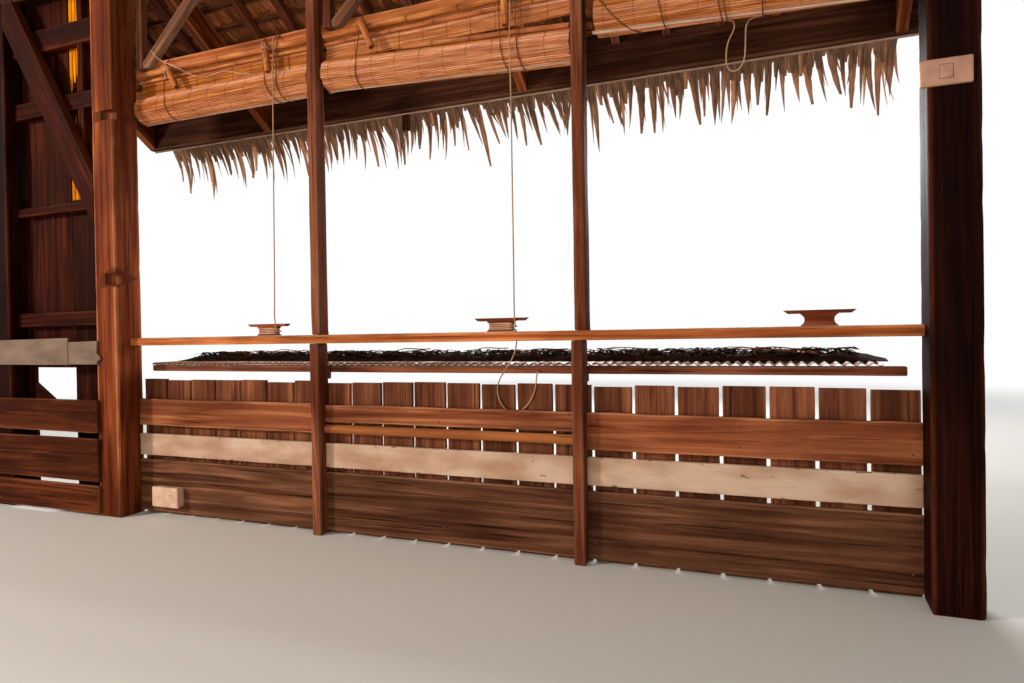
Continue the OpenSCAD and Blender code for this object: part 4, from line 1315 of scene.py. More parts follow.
def thatch_leaf(builder, x, start, total):
    """One leaf of a course that starts at a distance down the slope, as far as it lies on the roof."""
    low, high = THATCH
    x += draw.uniform(-0.008, 0.008)
    tone = clamp(draw.gauss(0.5, 0.22))
    drift = draw.uniform(-0.02, 0.02)
    width = draw.uniform(0.040, 0.056)
    length = LEAF_LENGTH * draw.uniform(0.9, 1.06)
    lift = draw.uniform(-0.002, 0.003)
    path, sides, widths, wear = [], [], [], []
    for t in (0, 0.2, 0.4, 0.6, 0.8, 0.93, 1):
        s = start + t * length
        if s < 0.004 or s > total - 0.002:
            continue
        d = THATCH_BASE + clamp(0.006 + 0.047 * t + lift, 0.003, 0.056)
        at_x = clamp(x + drift * t, low.x + 0.03, high.x - 0.03)
        path.append(slope_point(at_x, low.y + s * math.cos(PITCH), d))
        sides.append(X_AXIS)
        taper = 1 if t < 0.8 else (0.8 if t < 0.95 else 0.35)
        widths.append(width * taper)
        wear.append(clamp((t - 0.42) * 4))
    if len(path) > 1:
        ribbon(builder, path, sides, widths, draw.uniform(0.02, 0.09), tone, wear)


def thatch_core():
    """The thin solid layer in the middle of the thatch, so that no light falls between the leaves."""
    low, high = THATCH
    edge = 0.012
    near_y, far_y = low.y + edge, high.y - edge
    corners = [slope_point(x, y, THATCH_BASE + d) for x in (low.x + edge, high.x - edge)
               for y, d in ((near_y, 0.016), (far_y, 0.016), (far_y, 0.030), (near_y, 0.030))]
    core = Builder()
    core.add(corners, BLOCK_FACES, None, 0.25, 0.3)
    return core


def make_thatch(under, lath):
    """Courses of palm leaves: each starts on a lath under the roof and ends on top, over the next."""
    low, high = THATCH
    total = (high.y - low.y) / math.cos(PITCH)
    leaves, laths = Builder(), Builder()
    for course in range(-2, math.ceil(total / COURSE) + 2):
        start = course * COURSE
        if 0 <= start < total - 0.02:
            thatch_laths(laths, start)
        for k in range(math.floor((high.x - low.x - 0.02) / LEAF_PITCH)):
            thatch_leaf(leaves, low.x + 0.025 + k * LEAF_PITCH, start, total)
    leaves.piece("roof_thatch_leaves", under, "palm_leaf", ["roof_thatch"], thick=0.0012)
    laths.piece("roof_thatch_laths", lath, "palm_leaf")
    thatch_core().piece("roof_thatch_core", under, "palm_leaf")


# The fringe bends down from the thatch's edge and then hangs straight; drops are below its top
BEND_R = 0.430
BEND_START = math.radians(34)
BEND_END = math.radians(92)
BEND_DROP = BEND_R * (math.cos(BEND_START) - math.cos(BEND_END))
FRINGE_TOP_Z = roof_z(FRINGE[0].y, THATCH_BASE) + 0.004
FRINGE_PITCH = 0.047
ROOT_DROP = 0.160
ROOT_VARY = 0.050
TIP_DROP = 0.285
TIP_VARY = 0.095
LONG_TIP_EVERY = 13
LONG_TIP_FIRST = 5
LONG_TIP_EXTRA = 0.060
# Tips and gaps draw from the same irregular values, this many apart
TIP_DRAWS = 200


def fringe_point(x, drop, lift):
    """A point on the fringe at a drop below its top, lift outside its inner face."""
    centre_y = FRINGE[0].y - BEND_R * math.sin(BEND_START)
    centre_z = FRINGE_TOP_Z - BEND_R * math.cos(BEND_START)
    angle = math.acos(math.cos(BEND_START) - min(drop, BEND_DROP) / BEND_R)
    tail = max(0.0, drop - BEND_DROP)
    radius = BEND_R + lift
    return Vector((x, centre_y + radius * math.sin(angle), centre_z + radius * math.cos(angle) - tail))


def jitter(i):
    """The same irregular value between 0 and 1 that part.scad uses."""
    value = math.sin(math.radians(i * 7423.7 + 11)) * 4375.85
    return value - math.floor(value)


def root_drop(k):
    """How far the gap at the left of tip k reaches below the fringe's top."""
    return ROOT_DROP + ROOT_VARY * jitter(k)


def tip_drop(k):
    """How far tip k hangs below the fringe's top."""
    long_tip = LONG_TIP_EXTRA if k % LONG_TIP_EVERY == LONG_TIP_FIRST else 0
    return TIP_DROP + TIP_VARY * jitter(k + TIP_DRAWS) ** 1.5 + long_tip


def lean_at(x):
    """How far the tips near x lean to one side, so that neighbours gather and leave gaps between."""
    return 0.07 * noise.noise(Vector((x * 6.5, 4.2, 1.7))) + 0.008


def hanging_leaf(builder, x, drop, width, tone, lift, sway, blunt):
    """One leaf of the fringe, from the thatch's edge to its tip, with a ragged edge and a slow twist."""
    steps = 14
    path, sides, widths, wear = [], [], [], []
    twist = draw.uniform(-0.9, 0.9)
    for s in range(steps + 1):
        t = s / steps
        path.append(fringe_point(x + sway * t * t, drop * t, lift * (1 - 0.3 * t)))
        sides.append(Vector((math.cos(twist * t), math.sin(twist * t) * 0.6, 0)).normalized())
        shape = 1 - clamp((t - 0.45) / 0.55) ** 1.4 * (1 - blunt)
        ragged = 1 - 0.22 * draw.random() * (t > 0.4)
        widths.append(max(0.0012, width * shape * ragged))
        wear.append(0.15 + 0.6 * t)
    ribbon(builder, path, sides, widths, draw.uniform(0.05, 0.22), tone, wear)


def make_fringe(dry):
    """Three layers of leaves: close ones down to the roots, long pointed ones, and torn ones between."""
    low, high = FRINGE
    count = math.floor((high.x - low.x) / FRINGE_PITCH)
    builder = Builder()

    def place(k, shift):
        """Where tip k's leaf hangs, shifted by a share of the tips' pitch."""
        return clamp(low.x + (k + 0.54 + shift) * FRINGE_PITCH, low.x + 0.03, high.x - 0.03)

    for k in range(count):
        for part in range(3):
            hanging_leaf(builder, place(k, (part - 1) / 3), root_drop(k) * draw.uniform(0.74, 1.04),
                         draw.uniform(0.034, 0.046), clamp(draw.gauss(0.5, 0.26)),
                         draw.uniform(0.001, 0.005), draw.uniform(-0.008, 0.008), 0.4)
    for k in range(count):
        hanging_leaf(builder, place(k, 0), tip_drop(k), draw.uniform(0.024, 0.042),
                     clamp(draw.gauss(0.5, 0.28)), draw.uniform(0.004, 0.009),
                     lean_at(place(k, 0)) + draw.gauss(0, 0.012), draw.choice((0.03, 0.03, 0.3)))
        for _ in range(draw.choice((1, 2, 2, 3))):
            x = place(k, draw.uniform(-0.4, 0.4))
            hanging_leaf(builder, x, tip_drop(k) * draw.uniform(0.64, 0.95),
                         draw.uniform(0.010, 0.026), clamp(draw.gauss(0.5, 0.3)),
                         draw.uniform(0.003, 0.011), lean_at(x) + draw.gauss(0, 0.016), 0.04)
    builder.piece("eave_fringe_leaves", dry, "palm_leaf", ["eave_fringe"], thick=0.0012)


BRACKET_X = (0.912, 0.956)
BRACKET_Z = (1.806, 2.000)
BRACKET_T = 0.022


def make_fascia(dark, lath):
    """The fascia board with its bevelled top, the stub of a bracket, and a pale lath along its edge,
    which also stands for the light along that edge as a painted highlight.
    """
    builder = Builder()
    low, high = FASCIA
    face = EAVE_Y + FASCIA_T
    top = roof_z(face, THATCH_BASE)
    box_timber(builder, Vector((low.x, EAVE_Y, EAVE_Z)), Vector((high.x, face, top)), "X", tint=0.45,
               corner=0.004, step=0.05)
    bevel = [(EAVE_Y, top - 0.01), (face, top - 0.01), (face, top),
             (EAVE_Y, roof_z(EAVE_Y, THATCH_BASE))]
    points = [Vector((x, y, z)) for x in (low.x + 0.003, high.x - 0.003) for y, z in bevel]
    builder.add(points, BLOCK_FACES, None, 0.45)
    box_timber(builder, Vector((BRACKET_X[0], face, BRACKET_Z[0])),
               Vector((BRACKET_X[1], face + BRACKET_T, BRACKET_Z[1])), "Z", tint=0.3, corner=0.003)
    builder.piece("eave_fascia_timber", dark, "roof_wood", ["eave_fascia"])
    builder = Builder()
    # The pale lath gives the thin light line under the fascia's lower edge, a painted highlight.
    Timber((low.x, face + 0.003, EAVE_Z - 0.001), (high.x, face + 0.003, EAVE_Z - 0.001), (0, 0, 1),
           0.010, 0.006, corner=0.0015, rough=0.0005).add_to(builder, 0.7)
    builder.piece("eave_fascia_highlight_lath", lath, "bamboo")


# Low wall

# How much the log's edge takes off each top plank, from left to right, and the planks' tints
TOP_WANE = [0.0, 0.007, 0.012]
TOP_TINT = [0.55, 0.6, 0.95]
POLE_KNOTS = (7, 19)
POLE_STEPS = 30
BOARD_FIRST_X = 0.066
BOARD_PITCH = 0.137
BOARD_W = 0.128
BOARD_T = 0.018
# The blocks reach this far below the ledger
BLOCK_DROP = 0.024
NAILER_Z = [[0.290, 0.325], [0.445, 0.480]]
# Nails go in pairs at these shares of a board's width, in a row at each strip's height
NAIL_ROWS = (0.25, 0.75)
NAIL_Z = (0.307, 0.462)


def make_top_planks(plank):
    """The uppermost planks, each with the wavy edge of its log along the top."""
    builder = Builder()
    for (low, high), wane, tint in zip(solids("top_planks"), TOP_WANE, TOP_TINT):
        seed = draw.uniform(0, 50)

        def wany(side, s, wane=wane, seed=seed):
            """What the log's edge takes off at the top, and the saw at the bottom."""
            if side < 0:
                return 0.002 * (0.5 + 0.5 * noise.noise(Vector((s * 3, seed, 0))))
            broad = 0.5 + 0.5 * noise.noise(Vector((s * 6, seed, 3)))
            return wane * broad + 0.0015 * abs(noise.noise(Vector((s * 40, seed, 5))))

        box_timber(builder, low, high, "X", tint=tint, step=0.02, trim=wany, rough=0.002)
    builder.piece("top_planks_timber", plank, "board_wood", ["top_planks"])


def make_lower_pole(bare_pole):
    """The peeled pole, a little uneven, with two knots."""
    builder = Builder()
    low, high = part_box("lower_pole")
    radius = (high.z - low.z) / 2
    stations = []
    for k in range(POLE_STEPS + 1):
        t = k / POLE_STEPS
        knot = 1 if k in POLE_KNOTS else 0
        place = Vector((lerp(low.x, high.x, t), (low.y + high.y) / 2, (low.z + high.z) / 2))
        swell = 0.93 + 0.03 * noise.noise(Vector((t * 9, 1, 2))) + 0.04 * knot
        stations.append((place, radius * swell, 0.8 * knot))
    round_bar(builder, stations, 18, tint=0.8, seed=3)
    builder.piece("lower_pole_timber", bare_pole, "rail_wood", ["lower_pole"])


def make_ledger(red):
    """The ledger and the two blocks that hold it off the lower studs."""
    builder = Builder()
    low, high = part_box("ledger")
    box_timber(builder, Vector((low.x, low.y + BOARD_T, low.z + BLOCK_DROP)), high, "X", tint=0.6)
    for stud_low, stud_high in solids("lower_studs"):
        block_high = Vector((stud_high.x, low.y + BOARD_T + 0.002, high.z))
        box_timber(builder, Vector((stud_low.x, low.y, low.z)), block_high, "Z", tint=0.4)
    builder.piece("ledger_timber", red, "frame_wood", ["ledger"])


def make_low_wall(plank, dark_plank, board, red, paint, bare_pole, nail):
    """The planks inside, the upright boards outside, and the ledger on its blocks."""
    make_top_planks(plank)
    timber_node("white_band", "X", paint, "white_paint", "boards", step=0.05)
    timber_node("bottom_planks", "X", dark_plank, "board_wood", step=0.05)
    make_lower_pole(bare_pole)
    make_outer_boards(board, nail)
    make_ledger(red)


def make_outer_boards(board, nail):
    """Rough upright boards with uneven tops, the hidden strips behind them, and their nails."""
    builder, nails = Builder(), Builder()
    low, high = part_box("outer_boards")
    x = BOARD_FIRST_X
    while x + BOARD_W <= high.x + 0.001:
        top = high.z - draw.choice((0, 0, 0.002, 0.005, 0.008))
        box_timber(builder, Vector((x, high.y - BOARD_T, 0)), Vector((x + BOARD_W, high.y, top)), "Z",
                   corner=0.002, rough=0.0018, step=0.04)
        for z in NAIL_Z:
            for side in NAIL_ROWS:
                at_x = x + BOARD_W * side + draw.uniform(-0.006, 0.006)
                nail_head(nails, (at_x, high.y, z + draw.uniform(-0.01, 0.01)), (0, 1, 0))
        x += BOARD_PITCH
    for plank_low, plank_high in solids("bottom_planks"):
        for z in NAILER_Z:
            box_timber(builder, Vector((plank_low.x + 0.004, plank_high.y, z[0])),
                       Vector((plank_high.x - 0.004, high.y - BOARD_T, z[1])), "X", corner=0.001)
    for low, high in solids("top_planks") + solids("bottom_planks"):
        for x in (low.x + 0.03, high.x - 0.03, lerp(low.x, high.x, 0.5)):
            for t in NAIL_ROWS:
                nail_head(nails, (x + draw.uniform(-0.01, 0.01), low.y + 0.0005, lerp(low.z, high.z, t)),
                          (0, -1, 0))
    builder.piece("outer_boards_timber", board, "board_wood", ["outer_boards"])
    nails.piece("wall_nails", nail, "sheet_metal")


WAVE_PITCH = 0.032
WAVE_H = 0.009
# The sheet's nails go through the crests of these waves, over the ledger
SHEET_NAILED_WAVES = range(4, 90, 12)
SHEET_NAIL_Y = 0.108
SHEET_NAIL_R = 0.006


def make_sheet(zinc, nail):
    """The corrugated sheet, with dents and nails on its crests."""
    low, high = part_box("corrugated_sheet")
    per_wave, rows = 10, 14
    columns = round((high.x - low.x) / WAVE_PITCH) * per_wave
    points, wear = [], []
    for r in range(rows + 1):
        y = lerp(low.y, high.y, r / rows)
        for c in range(columns + 1):
            x = lerp(low.x, high.x, c / columns)
            dent = 0.0012 * noise.noise(Vector((x * 5, y * 9, 1)))
            z = low.z + 0.001 + WAVE_H / 2 * (1 - math.cos(2 * math.pi * (x - low.x) / WAVE_PITCH))
            points.append(Vector((x, y, max(z + dent, low.z + 0.001))))
            wear.append(1.0 if r in (0, rows) else 0.0)
    faces = []
    for r in range(rows):
        for c in range(columns):
            a = r * (columns + 1) + c
            faces.append((a, a + 1, a + columns + 2, a + columns + 1))
    builder = Builder()
    builder.add(points, faces, None, 0.5, wear)
    builder.piece("corrugated_sheet_zinc", zinc, "sheet_metal", ["corrugated_sheet"], thick=0.0012)
    nails = Builder()
    for k in SHEET_NAILED_WAVES:
        place = (low.x + (k + 0.5) * WAVE_PITCH, SHEET_NAIL_Y, low.z + WAVE_H + 0.001)
        nail_head(nails, place, (0, 0, 1), SHEET_NAIL_R)
    nails.piece("sheet_nails", nail, "sheet_metal")


RIDGE_LEAVES = 1100
RIDGE_TWIGS = 50


def ridge_crown(t):
    """The ridge's height over the sheet as a share of its highest, t of the way across it."""
    return math.sqrt(max(0.0, math.sin(math.pi * t)))


def ridge_bed(builder, low, high, base_z):
    """The matted body of the ridge, lumpy along its top and tapered at its ends."""
    across, stations = 12, 120
    points = []
    for s in range(stations + 1):
        x = lerp(low.x + 0.01, high.x - 0.01, s / stations)
        for a in range(across + 1):
            t = a / across
            y = lerp(low.y + 0.012, high.y - 0.012, t)
            lumps = 0.35 * noise.noise(Vector((x * 7, y * 16, 2)))
            crumbs = 0.2 * noise.noise(Vector((x * 30, y * 40, 5)))
            end = clamp(min(x - low.x, high.x - x) / 0.14) ** 0.6
            heap = ridge_crown(t) * end * clamp(0.66 + lumps + crumbs, 0.1, 0.96)
            rise = (high.z - base_z - 0.004) * heap
            points.append(Vector((x, y, base_z + 0.0015 + rise)))
        points += [Vector((x, points[-1].y, base_z)), Vector((x, points[-1 - across].y, base_z))]
    builder.add(points, tube_faces(stations + 1, across + 3), None, 0.3, 0.2)


def ridge_leaves(builder, low, high, base_z):
    """Loose leaves that lie on the ridge in all directions."""
    for _ in range(RIDGE_LEAVES):
        x = draw.uniform(low.x + 0.10, high.x - 0.10)
        t = draw.gauss(0.5, 0.2)
        y = clamp(lerp(low.y, high.y, t), low.y + 0.03, high.y - 0.03)
        z = base_z + (high.z - base_z) * ridge_crown(clamp(t, 0.05, 0.95)) * draw.uniform(0.45, 0.9)
        heading = draw.uniform(0, 2 * math.pi)
        ahead = Vector((math.cos(heading), math.sin(heading) * 0.7, draw.uniform(-0.12, 0.2)))
        length = draw.uniform(0.025, 0.085)
        path, widths, sides = [], [], []
        for s in range(6):
            u = s / 5
            place = Vector((x, y, z)) + ahead * length * (u - 0.5)
            place.z += 0.008 * math.sin(math.pi * u) * draw.uniform(0.5, 1.2)
            place.y = clamp(place.y, low.y + 0.004, high.y - 0.004)
            place.z = clamp(place.z, low.z + 0.002, high.z + 0.006)
            path.append(place)
            widths.append(draw.uniform(0.006, 0.016) * (0.25 + math.sin(math.pi * clamp(u, 0.08, 0.95))))
            sides.append(ahead.cross(Z_AXIS).normalized())
        tone = clamp(draw.gauss(0.4, 0.28))
        ribbon(builder, path, sides, widths, draw.uniform(-0.2, 0.25), tone, 0.35)


def ridge_twigs(builder, low, high):
    """Bent stalks and twigs between the leaves."""
    middle_y, half_y = (low.y + high.y) / 2, (high.y - low.y) / 2
    for _ in range(RIDGE_TWIGS):
        x = draw.uniform(low.x + 0.15, high.x - 0.30)
        y = middle_y + draw.gauss(0, 0.35) * half_y
        heading = draw.uniform(-0.7, 0.7)
        ahead = Vector((math.cos(heading), math.sin(heading) * 0.5, draw.uniform(-0.05, 0.12)))
        length = draw.uniform(0.08, 0.24)
        start = Vector((x, clamp(y, low.y + 0.05, high.y - 0.05), low.z + draw.uniform(0.012, 0.03)))
        path = []
        for t in (0, 0.25, 0.5, 0.75, 1):
            bend = Vector((0, 0.006 * math.sin(7 * t + x), 0.006 * math.sin(5 * t)))
            path.append(start + ahead * length * t + bend)
        for place in path:
            place.y = clamp(place.y, low.y, high.y)
            place.z = clamp(place.z, low.z + 0.002, high.z + 0.008)
        rope(builder, path, draw.uniform(0.002, 0.005), strands=2, lay=90, tint=draw.random())


def make_ridge(dry, twig):
    """A ridge of old leaves, stalks and twigs that has gathered on the sheet."""
    low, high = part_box("ridge_thatch")
    base_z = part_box("corrugated_sheet")[0].z + WAVE_H
    leaves, twigs = Builder(), Builder()
    ridge_bed(leaves, low, high, base_z)
    ridge_leaves(leaves, low, high, base_z)
    leaves.piece("ridge_thatch_leaves", dry, "palm_leaf", ["ridge_thatch"], thick=0.001)
    ridge_twigs(twigs, low, high)
    twigs.piece("ridge_thatch_twigs", twig, "palm_leaf")


# Electrical fittings

def soft_box(builder, low, high, corner):
    """A moulded block with rounded edges, whose face looks into the room."""
    low, high = Vector(low), Vector(high)
    middle, half = (low + high) / 2, (high - low) / 2
    outline = []
    for side_x, side_z, first in ((1, 1, 0), (-1, 1, 90), (-1, -1, 180), (1, -1, 270)):
        for step in range(5):
            angle = math.radians(first + step * 22.5)
            outline.append((side_x * (half.x - corner) + corner * math.cos(angle),
                            side_z * (half.z - corner) + corner * math.sin(angle)))
    depth = high.y - low.y
    rings = [(0, 0), (0.6, 0), (0.82, 0.12), (0.94, 0.4), (1, 1.0)]
    points, wear = [], []
    for t, inset in rings:
        shrink = inset * min(corner, depth / 2)
        for x, z in outline:
            points.append(Vector((middle.x + x * (1 - shrink / half.x), high.y - depth * t,
                                  middle.z + z * (1 - shrink / half.z))))
            # The back rim gets a wear value, which the plastic shows darker.
            wear.append(0.7 if t == 0 else 0.0)
    builder.add(points, tube_faces(len(rings), len(outline)), None, 0.5, wear)


# Half the width and height of the switch's rocker and of the hole round it
ROCKER_HALF = (0.015, 0.018)
ROCKER_HOLE_HALF = (0.0158, 0.0188)
# Each socket has two flat slots and one round: their place from its middle, and half their size
SOCKET_SLOTS = ((-0.006, -0.004, 0.0012, 0.004), (0.006, -0.004, 0.0012, 0.004),
                (0, 0.009, 0.0026, 0.0026))


def make_switch(plate_plastic):
    """The wall switch with its rocker."""
    low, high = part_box("switch_plate")
    middle_x, middle_z = (low.x + high.x) / 2, (low.z + high.z) / 2
    builder = Builder()
    hole_w, hole_h = ROCKER_HOLE_HALF
    face = low.y + 0.002
    soft_box(builder, (low.x, face, low.z), high, 0.004)
    plate = builder.piece("switch_plate_cover", plate_plastic, "fitting", ["switch_plate"])
    carve(plate, [(Vector((middle_x - hole_w, face - 0.01, middle_z - hole_h)),
                   Vector((middle_x + hole_w, high.y - 0.005, middle_z + hole_h)))])
    rocker = Builder()
    half_w, half_h = ROCKER_HALF
    soft_box(rocker, (middle_x - half_w, low.y, middle_z - half_h),
             (middle_x + half_w, high.y - 0.004, middle_z + half_h), 0.002)
    rocker.piece("switch_rocker", plate_plastic, "fitting")


def make_socket(box_plastic):
    """The double socket in its surface box."""
    low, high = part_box("socket_box")
    back_box, cover = Builder(), Builder()
    soft_box(back_box, (low.x + 0.003, low.y + 0.012, low.z + 0.003),
             (high.x - 0.003, high.y, high.z - 0.003), 0.004)
    soft_box(cover, low, (high.x, low.y + 0.013, high.z), 0.005)
    plate = cover.piece("socket_cover", box_plastic, "fitting")
    slots = []
    for centre in (lerp(low.x, high.x, 0.28), lerp(low.x, high.x, 0.72)):
        middle = (low.z + high.z) / 2
        for shift_x, shift_z, w, h in SOCKET_SLOTS:
            slots.append((Vector((centre + shift_x - w, low.y - 0.01, middle + shift_z - h)),
                          Vector((centre + shift_x + w, low.y + 0.010, middle + shift_z + h))))
    carve(plate, slots)
    back_box.piece("socket_back_box", box_plastic, "fitting", ["socket_box"])


# Side bay

SLIT_W = 0.013
SLIT_Z = (1.447, 1.805)
SIDE_BRACE_W = 0.110
SIDE_BRACE_ANGLE = math.radians(59)
# The broken board is the only one lower than this, and its break slants down to this corner
BROKEN_BOARD_H = 0.2
BROKEN_BOARD_CORNER = (-0.476, 0.496)
# The planks are nailed to the end post and the left post
SIDE_NAIL_X = (-0.70, -0.06)


def make_side_boards(side_wood_in_painted_shade):
    """The upright boards, one of them broken off, and the one with the narrow gap."""
    builder = Builder()
    for low, high in solids("side_boards"):
        if high.z - low.z < BROKEN_BOARD_H:
            outline = [(low.x, high.z), (low.x, low.z), (high.x, low.z), BROKEN_BOARD_CORNER]
            slab(builder, outline, low.y, high.y, corner=0.002, tint=0.4)
        else:
            box_timber(builder, low, high, "Z", corner=0.002, rough=0.0016)
    builder.piece("side_boards_timber", side_wood_in_painted_shade, "board_wood", ["side_boards"])
    builder = Builder()
    low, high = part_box("side_slit_board")
    box_timber(builder, low, high, "Z", corner=0.002)
    slit = builder.piece("side_slit_board_timber", side_wood_in_painted_shade, "board_wood", ["side_slit_board"])
    carve(slit, [(Vector((low.x - 0.01, low.y - 0.01, SLIT_Z[0])),
                  Vector((low.x + SLIT_W, high.y + 0.01, SLIT_Z[1])))])


def make_side_brace(side_wood_in_painted_shade):
    """The broad brace that climbs to the left before the boards, cut level at its head."""
    builder = Builder()
    low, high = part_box("side_brace")
    width = SIDE_BRACE_W / math.cos(SIDE_BRACE_ANGLE)
    slope = math.tan(SIDE_BRACE_ANGLE)
    head_x = high.x - (high.z - low.z - width) / slope
    slab(builder, [(high.x, low.z), (high.x, low.z + width), (head_x, high.z), (low.x, high.z),
                   (low.x, low.z + (high.x - low.x) * slope)], low.y, high.y, tint=0.5)
    builder.piece("side_brace_timber", side_wood_in_painted_shade, "frame_wood", ["side_brace"])


def make_side_planks(plank, nail):
    """The planks that are nailed over the posts."""
    builder, nails = Builder(), Builder()
    for low, high in solids("side_planks"):
        box_timber(builder, low, high, "X", tint=draw.uniform(0.45, 0.7), step=0.03, rough=0.002)
        for x in SIDE_NAIL_X:
            for t in NAIL_ROWS:
                nail_head(nails, (x, low.y + 0.0005, lerp(low.z, high.z, t)), (0, -1, 0))
    builder.piece("side_planks_timber", plank, "board_wood", ["side_planks"])
    nails.piece("side_nails", nail, "sheet_metal")


# The panel's two tiers of strips end near these heights, with ragged ends over the rail between them
UPPER_TIER_LOW = 1.947
LOWER_TIER_TOP = 1.82
RAGGED = 0.05
PANEL_STRIPS = 11


def make_light_panel(strip_bamboo, dark):
    """A pane of bamboo strips on a dark back, in two tiers with ragged ends at the rail between."""
    low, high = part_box("side_light_panel")
    back = Builder()
    # The back is the side bay's wood, darkened as painted shade, at its darkest tint.
    box_timber(back, Vector((low.x, high.y - 0.003, low.z)), high, "Z", corner=0.001, tint=0.2)
    back.piece("side_light_panel_back", dark, "bamboo", ["side_light_panel"])
    builder = Builder()
    pitch = (high.x - low.x) / PANEL_STRIPS
    stops = (0, 0.1, 0.3, 0.5, 0.7, 0.9, 0.97, 1)
    ragged_low = [1, 1, 1, 1, 1, 0.9, 0.55, 0.15]
    frayed_top = [0.2, 0.8, 1, 1, 1, 1, 1, 1]
    for k in range(PANEL_STRIPS):
        x = low.x + (k + 0.5) * pitch
        tiers = ((UPPER_TIER_LOW - RAGGED * draw.random() ** 2, high.z - 0.002, ragged_low),
                 (low.z + 0.002, LOWER_TIER_TOP - RAGGED * draw.random(), frayed_top))
        for bottom, top, taper in tiers:
            width = pitch * draw.uniform(0.86, 0.99)
            path = [Vector((x, low.y + 0.0028, lerp(top, bottom, t))) for t in stops]
            ribbon(builder, path, [X_AXIS] * len(path), [width * t for t in taper], 0.04,
                   clamp(draw.gauss(0.55, 0.2)), 0.0)
    builder.piece("side_light_panel_strips", strip_bamboo, "bamboo", thick=0.0012)


def make_side_bay(side_wood_in_painted_shade, plank, strip_bamboo, nail):
    """Boards, rails and studs, the brace before them, the planks over the posts, the light panel."""
    # The bay's wood is darkened as painted shade.
    make_side_boards(side_wood_in_painted_shade)
    timber_node("side_rails", "X", side_wood_in_painted_shade, "frame_wood", tints=(0.3, 0.7))
    builder = Builder()
    for low, high in solids("side_studs"):
        box_timber(builder, low, high, "Z", tint=0.5)
    builder.piece("side_studs_timber", side_wood_in_painted_shade, "frame_wood", ["side_studs"])
    make_side_brace(side_wood_in_painted_shade)
    make_side_planks(plank, nail)
    make_light_panel(strip_bamboo, side_wood_in_painted_shade)


# Pieces kept from the frame

def finish_node(node, material, bevel=0.002):
    """Gives a CAD piece its material and eases its edges."""
    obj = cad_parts[node]
    obj.data.materials.clear()
    obj.data.materials.append(material)
    merge = obj.modifiers.new("merge", "WELD")
    merge.merge_threshold = 0.00001
    flat = obj.modifiers.new("flat", "DECIMATE")
    flat.decimate_type = "DISSOLVE"
    flat.angle_limit = math.radians(1)
    ease = obj.modifiers.new("ease", "BEVEL")
    ease.width = bevel
    ease.segments = 3
    ease.limit_method = "ANGLE"
    ease.angle_limit = math.radians(35)


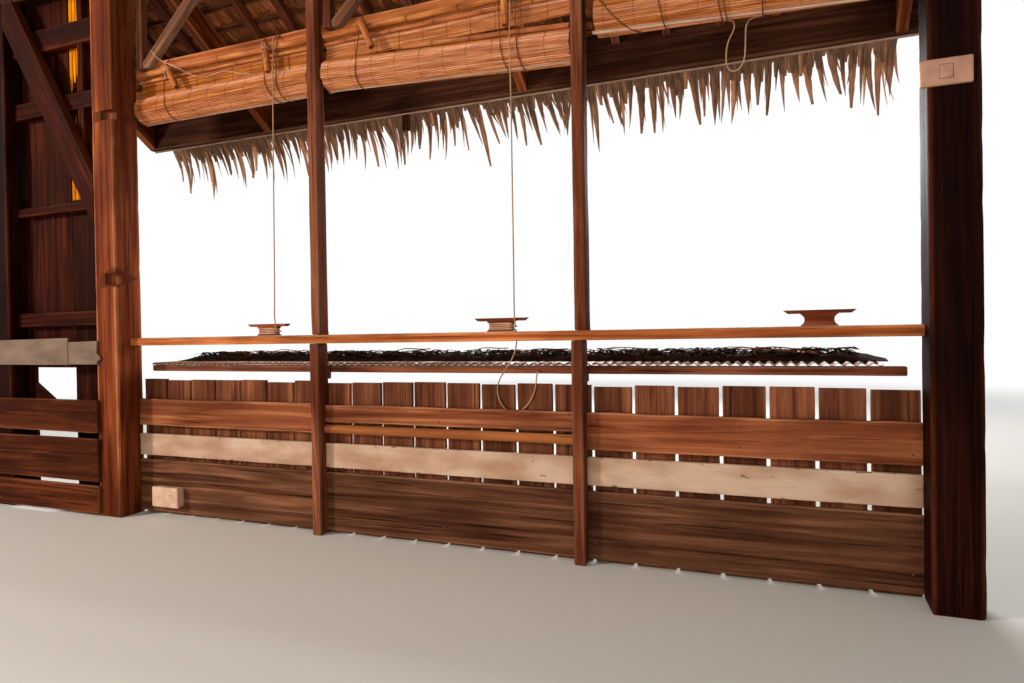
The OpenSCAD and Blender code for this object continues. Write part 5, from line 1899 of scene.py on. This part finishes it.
def main():
    make_camera()
    fibre = rope_material("twisted_fibre", (156, 112, 84), (214, 172, 138))
    pink_fibre = rope_material("pale_fibre", (190, 136, 108), (232, 192, 164))
    dark_fibre = rope_material("dark_fibre", (92, 42, 26), (150, 90, 62))
    make_cords(fibre, pink_fibre)
    make_lights()
    make_floor()

    worn_post = wood("worn_post_wood", (66, 24, 11), (120, 56, 29), (160, 86, 50),
                     (200, 130, 88), 0.5, 0.5)
    # Dark red-brown timber, darkened further as painted shade for the right post and the end post, which
    # stand in shadow.
    post_dark_and_painted_shade = wood("post_wood_dark_and_painted_shade", (14, 4, 2), (30, 9, 5), (52, 19, 11),
                     (84, 38, 24), 0.5, 0.5)
    red = wood("red_wood", (66, 24, 12), (122, 62, 38), (164, 98, 64),
               (112, 96, 84), 0.5, 0.45)
    orange = wood("orange_wood", (110, 52, 24), (168, 88, 46), (208, 124, 70),
                  (220, 154, 102), 0.42, 0.45)
    roof_brown = wood("roof_wood", (70, 28, 12), (120, 58, 27), (162, 88, 44),
                      (166, 108, 66), 0.55, 0.5)
    dark = wood("dark_wood", (36, 16, 9), (60, 32, 20), (92, 56, 38),
                (116, 82, 62), 0.6, 0.45)
    board = wood("board_wood", (78, 40, 27), (124, 73, 50), (162, 105, 74),
                 (144, 98, 70), 0.62, 0.55)
    plank = wood("plank_wood", (88, 42, 24), (136, 76, 48), (174, 112, 76),
                 (188, 132, 96), 0.6, 0.5)
    base_plank = wood("base_plank_wood", (58, 30, 19), (98, 62, 44), (134, 92, 68),
                      (140, 102, 78), 0.62, 0.5)
    # The side bay's planks and its boards, rails, studs and brace are darkened as painted shade, since
    # the bay lies in shadow.
    side_plank = wood("side_plank_wood_in_painted_shade", (44, 15, 7), (82, 38, 19), (118, 62, 34),
                      (128, 78, 50), 0.6, 0.5)
    side_red_in_painted_shade = wood("side_wood_in_painted_shade", (28, 8, 4), (54, 18, 9), (86, 36, 19),
                    (92, 46, 28), 0.55, 0.5)
    weathered = wood("weathered_wood", (88, 52, 36), (126, 84, 62), (156, 114, 88),
                     (150, 120, 98), 0.6, 0.5)
    bare_pole = wood("pole_wood", (130, 72, 40), (168, 104, 62), (200, 140, 92),
                     (116, 70, 42), 0.5, 0.3)
    cleat_wood = wood("cleat_wood", (86, 36, 18), (130, 62, 36), (164, 92, 58),
                      (180, 114, 76), 0.45, 0.4, built=False)
    skin = bamboo("bamboo_slats", (152, 84, 40), (194, 116, 61), (228, 154, 92),
                  fade=(1.12, 0.78))
    rod_skin = bamboo("bamboo_rods", (130, 64, 26), (174, 98, 44), (208, 138, 76), 0.32)
    pale_lath = bamboo("pale_lath", (176, 130, 104), (212, 172, 146), (232, 202, 178), 0.5)
    dark_lath = bamboo("dark_lath", (60, 30, 16), (92, 50, 28), (124, 74, 44), 0.6)
    strip_bamboo = bamboo("split_bamboo", (160, 82, 20), (206, 122, 36), (232, 160, 70), 0.5,
                          fade=(1.4, 1.2))
    thread = rope_material("stitching_thread", (84, 44, 24), (130, 80, 50))
    under = leaf("thatch_leaf", (146, 76, 38), (222, 134, 78), (250, 184, 124),
                 (138, 116, 98))
    dry = leaf("fringe_leaf", (128, 90, 66), (188, 148, 116), (228, 194, 162),
               (194, 164, 142))
    old_leaf = leaf("old_leaf", (48, 26, 15), (84, 52, 32), (128, 90, 60),
                    (104, 80, 60))
    paint = old_paint("white_paint", (200, 172, 152), (168, 132, 108), (110, 68, 48))
    # The side strips' white paint is dulled to grey-brown as painted shade, since the side bay lies in
    # shadow.
    strip_paint_in_painted_shade = old_paint("strip_paint_in_painted_shade", (126, 106, 92), (98, 78, 64),
                            (70, 36, 22), built=False)
    switch_plastic = plastic("switch_plastic", (180, 134, 108), (156, 108, 84))
    socket_plastic = plastic("socket_plastic", (218, 186, 162), (196, 158, 132))
    nail = iron("nail_iron")

    make_posts(worn_post, post_dark_and_painted_shade)
    make_frame_timbers(red, orange, dark, weathered)
    for i, name in enumerate(("left_blind", "middle_blind", "right_blind")):
        make_blind(i, name, skin, thread, pale_lath)
    make_rods(rod_skin)
    make_toggles(rod_skin)
    make_slings(dark_fibre)
    make_knots(pink_fibre)
    make_windings(pink_fibre)
    make_rafters(roof_brown, red)
    make_thatch(under, dark_lath)
    make_fringe(dry)
    make_fascia(dark, pale_lath)
    make_low_wall(plank, base_plank, board, red, paint, bare_pole, nail)
    make_sheet(old_sheet("weathered_zinc"), nail)
    make_ridge(old_leaf, roof_brown)
    make_switch(switch_plastic)
    make_socket(socket_plastic)
    make_side_bay(side_red_in_painted_shade, side_plank, strip_bamboo, nail)
    finish_node("cleats", cleat_wood, 0.0025)
    finish_node("side_white_strips", strip_paint_in_painted_shade, 0.0015)

    scene.view_settings.view_transform = "Standard"


main()
